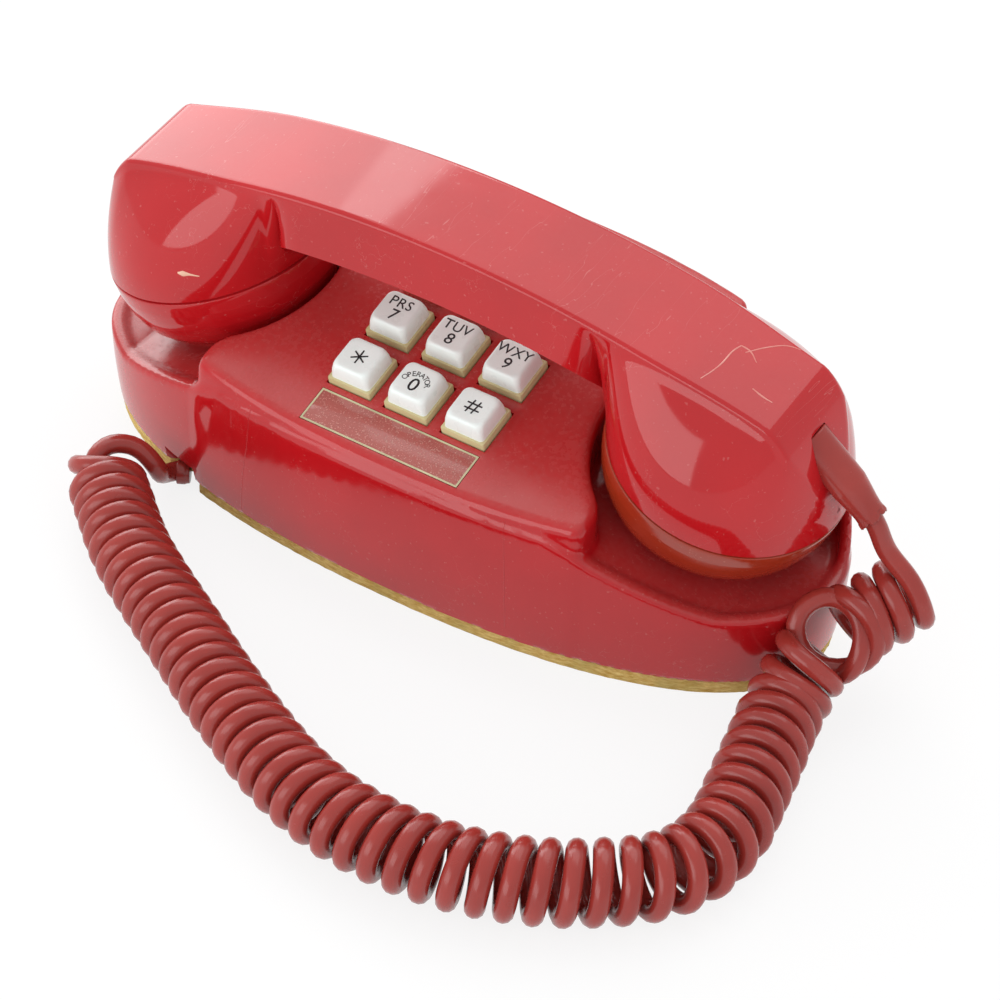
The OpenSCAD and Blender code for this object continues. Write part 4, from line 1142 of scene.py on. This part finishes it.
def plungerPiece(name, spot):
    x, y = spot
    out = np.array(cupPlace(1 if x > 0 else -1))
    face = out[:3, 3] + out[:3, 2] * handset["capDepth"]
    top = (face @ out[:3, 2] - out[0, 2] * x - out[1, 2] * y) / out[2, 2] - plunger["gap"]
    foot = float(ledgeAt(abs(x))) - plunger["under"] - base["wall"] - plunger["below"]
    collar, pinR, flangeR = foot + plunger["flangeThick"], plunger["pinR"], plunger["flangeR"]
    profile = [(0, plunger["pinEnd"]), (pinR, plunger["pinEnd"]), (pinR, foot), (flangeR, foot),
               (flangeR, collar), (plunger["stemR"], collar), (plunger["stemR"], top - 1.2),
               (3.6, top - 0.4), (2.8, top), (0, top)]
    return paint(lathe(name, roundedProfile(profile, 0.4, 3), Matrix.Translation((x, y, 0)), 48),
                 "whitePlastic")


leftPlunger, rightPlunger = (plungerPiece(side + "Plunger", spot)
                             for side, spot in zip(("left", "right"), openings["plungers"]))
print("plungers made")


# every solid that still shows as it is gets its finish

plainParts = {
    "card": ["number_card"], "plateSteel": ["base_plate"], "board": ["keypad_board"],
    "coilWire": ["ringer_coil"], "lampGlass": ["dial_lamp"], "darkRubber": ["line_inlet"],
    "darkPlastic": ["keypad_frame", "transmitter_unit"], "unitMetal": ["ringer_gong", "receiver_unit"],
    "brownPlastic": ["network_block", "hook_switch_block"],
    "springBrass": ["contact_leaves", "terminal_screws", "hook_switch_springs"],
    "brightSteel": ["housing_screws", "hook_lever", "gong_screw", "clapper"],
    "bracketSteel": ["keypad_bracket", "lever_bearings", "ringer_frame", "lamp_socket"],
}
for look, names in plainParts.items():
    for name in names:
        paint(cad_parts[name], look)

paint(handsetCord, "cordVinyl")


# what each piece rides on and stands for

def settle(obj, body, nodes):
    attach(obj, body)
    if nodes:
        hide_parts(*nodes)


settle(housing, "base", ["housing"])
settle(fibrePad, "base", ["base_pad"])
settle(cardWindow, "base", ["number_window"])
settle(windowEdge, "base", [])
for key, cap, skirt, legend in keyPieces:
    settle(cap, "key_" + key, [f"key_{key}_cap"])
    settle(skirt, "key_" + key, [f"key_{key}_skirt"])
    settle(legend, "key_" + key, [])
settle(handsetHandle, "handset", ["handset_handle"])
settle(receiverCap, "handset", ["receiver_cap"])
settle(transmitterCap, "handset", ["transmitter_cap"])
settle(cordGrommet, "base", ["cord_inlet"])
settle(cordBoot, "handset", ["cord_boot"])
settle(paintDrop, "handset", [])
settle(scuffs, "handset", [])
settle(seams, "base", [])
settle(leftPlunger, "left_plunger", ["left_plunger"])
settle(rightPlunger, "right_plunger", ["right_plunger"])
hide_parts("cord_lead_upper", "cord_coil", "cord_lead_lower")
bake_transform(handsetCord)
print("pieces settled on their bodies")


# floor, world and lights

studio = {
    "floorShow": 0.84, "floorShine": 0.9, "worldFill": 0.88, "worldShine": 0.72,
    "floorHalf": 3000, "paper": "#f2f2f2",
    # place, aim, width, depth, watts
    "lamps": {
        "left": ((-1.05, 0.7, 0.62), (0, 0, 0.06), 1.1, 1.05, 9.5),
        "overhead": ((-0.15, 0.72, 1.4), (0, 0, 0.05), 1.7, 1.2, 7.5),
        "front": ((-0.5, -1.6, 0.5), (0, 0, 0.03), 1.7, 0.9, 9),
    },
}


def makeFloor():
    half = studio["floorHalf"]
    points = [(-half, -half, 0), (half, -half, 0), (half, half, 0), (-half, half, 0)]
    floor = makeMesh("studioFloor", points, [[0, 1, 2, 3]])
    material, tree, shader = newMaterial("whitePaperFloor", Roughness=0.9, Specular_IOR_Level=0.2,
                                         Base_Color=linear(studio["paper"]))[:3]
    seen = addNode(tree, "ShaderNodeLightPath").outputs
    shine = addNode(tree, "ShaderNodeMapRange", {
        0: seen["Is Glossy Ray"], 3: 1.0, 4: studio["floorShine"]})
    glow = addNode(tree, "ShaderNodeEmission", {"Color": (1, 1, 1, 1), "Strength": shine})
    share = addNode(tree, "ShaderNodeMath", {0: seen["Is Camera Ray"], 1: seen["Is Glossy Ray"]},
                    operation="MAXIMUM")
    share = addNode(tree, "ShaderNodeMath", {0: share, 1: seen["Is Transmission Ray"]},
                    operation="MAXIMUM")
    share = addNode(tree, "ShaderNodeMath", {0: share, 1: studio["floorShow"]}, operation="MULTIPLY")
    mix = addNode(tree, "ShaderNodeMixShader", {0: share, 1: shader, 2: glow})
    feed(tree, tree.nodes["Material Output"], {"Surface": mix})
    floor.data.materials.append(material)


def makeWorld():
    world = bpy.data.worlds.new("studioWorld")
    world.use_nodes = True
    tree = world.node_tree
    seen = addNode(tree, "ShaderNodeLightPath").outputs
    level = addNode(tree, "ShaderNodeMapRange", {
        0: seen["Is Glossy Ray"], 3: studio["worldFill"], 4: studio["worldShine"]})
    feed(tree, tree.nodes["Background"], {"Strength": level, "Color": (1, 1, 1, 1)})
    bpy.context.scene.world = world


def makeLamp(name, place, aim, width, depth, power):
    data = bpy.data.lights.new(name, "AREA")
    data.shape = "RECTANGLE"
    data.size, data.size_y = width, depth
    data.energy = power
    obj = addObject(name, data)
    obj.location = place
    obj.rotation_euler = (Vector(aim) - Vector(place)).to_track_quat("-Z", "Y").to_euler()


makeFloor()
makeWorld()
for name, values in studio["lamps"].items():
    makeLamp(name, *values)
bpy.context.scene.view_settings.view_transform = "Standard"
print("floor and lights made")
